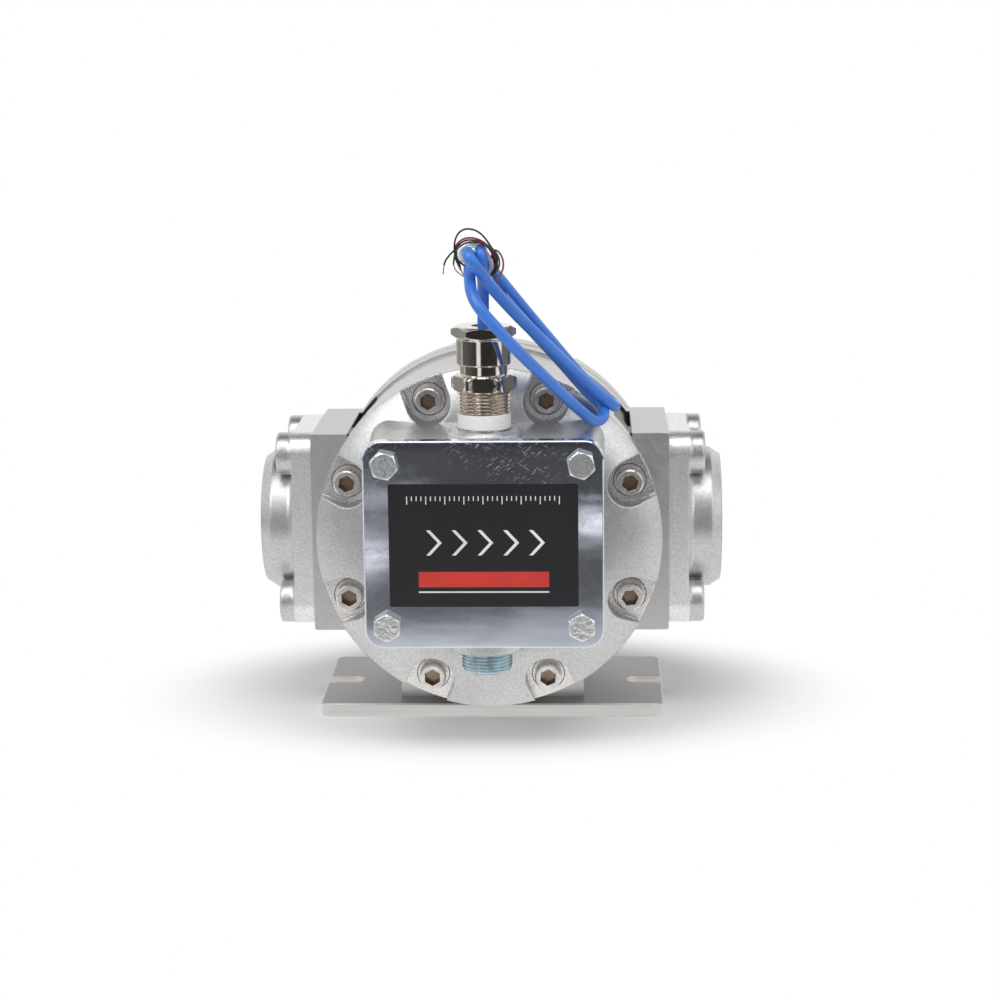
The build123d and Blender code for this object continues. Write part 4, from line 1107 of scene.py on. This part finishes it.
def make_floor():
    """A plain pale floor: the object's soft shadow near it, and white farther away; polished metal
    sees it glow with painted reflections.
    """
    shader = Shader("floor_paper")
    tree = shader.tree
    shader.finish(FLOOR_PAPER, 0.9, None, Specular_IOR_Level=0.0)
    parts = shader.split(shader.place)
    across = shader.math("MULTIPLY", parts["X"], FLOOR_SHADOW_X_SHARE)
    values = {
        "Value": shader.reach(across, parts["Y"]),
        "From Min": FLOOR_SHADOW_REACH[0],
        "From Max": FLOOR_SHADOW_REACH[1],
    }
    fade = shader.node("ShaderNodeMapRange", values, interpolation_type="SMOOTHSTEP")
    paths = shader.node("ShaderNodeLightPath").outputs
    seen = shader.math("MAXIMUM", paths["Is Camera Ray"], paths["Is Transmission Ray"])
    whiter = shader.math("MULTIPLY", seen, fade.outputs["Result"])
    white = shader.node("ShaderNodeEmission", {"Color": WHITE, "Strength": 1.0})
    greys = mirrored_floor(shader, parts)
    mirrored = shader.node("ShaderNodeEmission", {"Color": greys, "Strength": 1.0})
    paper = blend(tree, whiter, shader.bsdf.outputs[0], white.outputs[0])
    surface = blend(tree, paths["Is Glossy Ray"], paper, mirrored.outputs[0])
    tree.links.new(surface, tree.nodes["Material Output"].inputs["Surface"])
    mesh = bpy.data.meshes.new("floor")
    sides = ((-1, -1), (1, -1), (1, 1), (-1, 1))
    corners = [(x * FLOOR_HALF, y * FLOOR_HALF, 0) for x, y in sides]
    mesh.from_pydata(corners, [], [(0, 1, 2, 3)])
    mesh.materials.append(shader.material)
    floor_piece = bpy.data.objects.new("floor", mesh)
    bpy.context.scene.collection.objects.link(floor_piece)


# What metal sees of the room, by the direction's Y: dark behind the camera, and white behind
# the object
ROOM_MIRRORED = (
    (-1.0, (0.30, 0.31, 0.34, 1)),
    (-0.75, (0.32, 0.33, 0.36, 1)),
    (-0.30, 0.60),
    (0.10, 0.95),
    (1.0, 1.0),
)
# The ceiling is dark, by the direction's Z
OVERHEAD = ((0.0, 1.0), (0.58, 1.0), (0.78, 0.45), (0.88, 0.12), (1.0, 0.10))
ROOM_DIFFUSE = (0.45, 0.45, 0.45, 1)
WHITE = (1, 1, 1, 1)


def mixed(tree, share, first, second, blend_type="MIX"):
    """A colour that goes over into another, from sockets or plain colours."""
    made = tree.nodes.new("ShaderNodeMix")
    made.data_type = "RGBA"
    made.blend_type = blend_type
    for place, value in ((0, share), (6, first), (7, second)):
        if isinstance(value, bpy.types.NodeSocket):
            tree.links.new(value, made.inputs[place])
        else:
            made.inputs[place].default_value = value
    return made.outputs[2]


def make_world():
    """White behind the object, and a studio that is darker towards the camera in reflections."""
    world = bpy.data.worlds.new("studio")
    bpy.context.scene.world = world
    world.use_nodes = True
    tree = world.node_tree
    paths = tree.nodes.new("ShaderNodeLightPath").outputs
    place = tree.nodes.new("ShaderNodeTexCoord")
    split = tree.nodes.new("ShaderNodeSeparateXYZ")
    tree.links.new(place.outputs["Generated"], split.inputs[0])
    room = color_steps(tree, split.outputs["Y"], -1.0, 1.0, ROOM_MIRRORED)
    overhead = color_steps(tree, split.outputs["Z"], 0.0, 1.0, OVERHEAD)
    room = mixed(tree, 1.0, room, overhead, "MULTIPLY")
    unseen = mixed(tree, paths["Is Glossy Ray"], ROOM_DIFFUSE, room)
    through = mixed(tree, paths["Is Transmission Ray"], unseen, WHITE)
    total = mixed(tree, paths["Is Camera Ray"], through, WHITE)
    background = tree.nodes["Background"]
    tree.links.new(total, background.inputs["Color"])
    background.inputs["Strength"].default_value = 1.0


LIGHT_TARGET = (0, 0, 0.1)
# Soft boxes above and at both sides of the camera: place, width, height and watts
SOFT_BOXES = {
    "key_box": ((-1.1, -1.2, 1.3), 1.2, 1.0, 9.5),
    "fill_box": ((1.3, -1.0, 0.9), 0.8, 1.2, 4),
    "top_box": ((0, -0.75, 1.7), 1.8, 0.9, 12.5),
}


def make_lights():
    """The studio's soft boxes."""
    for name, (place, width, height, power) in SOFT_BOXES.items():
        add_light(name, place, LIGHT_TARGET, width, height, power)


make_camera()
MATERIALS = make_materials()
make_cables()
dress_nodes()
gland_parts()
port_threads()
plug_part()
tape_part()
label_parts()
make_floor()
make_world()
make_lights()
bpy.context.scene.view_settings.view_transform = "Standard"
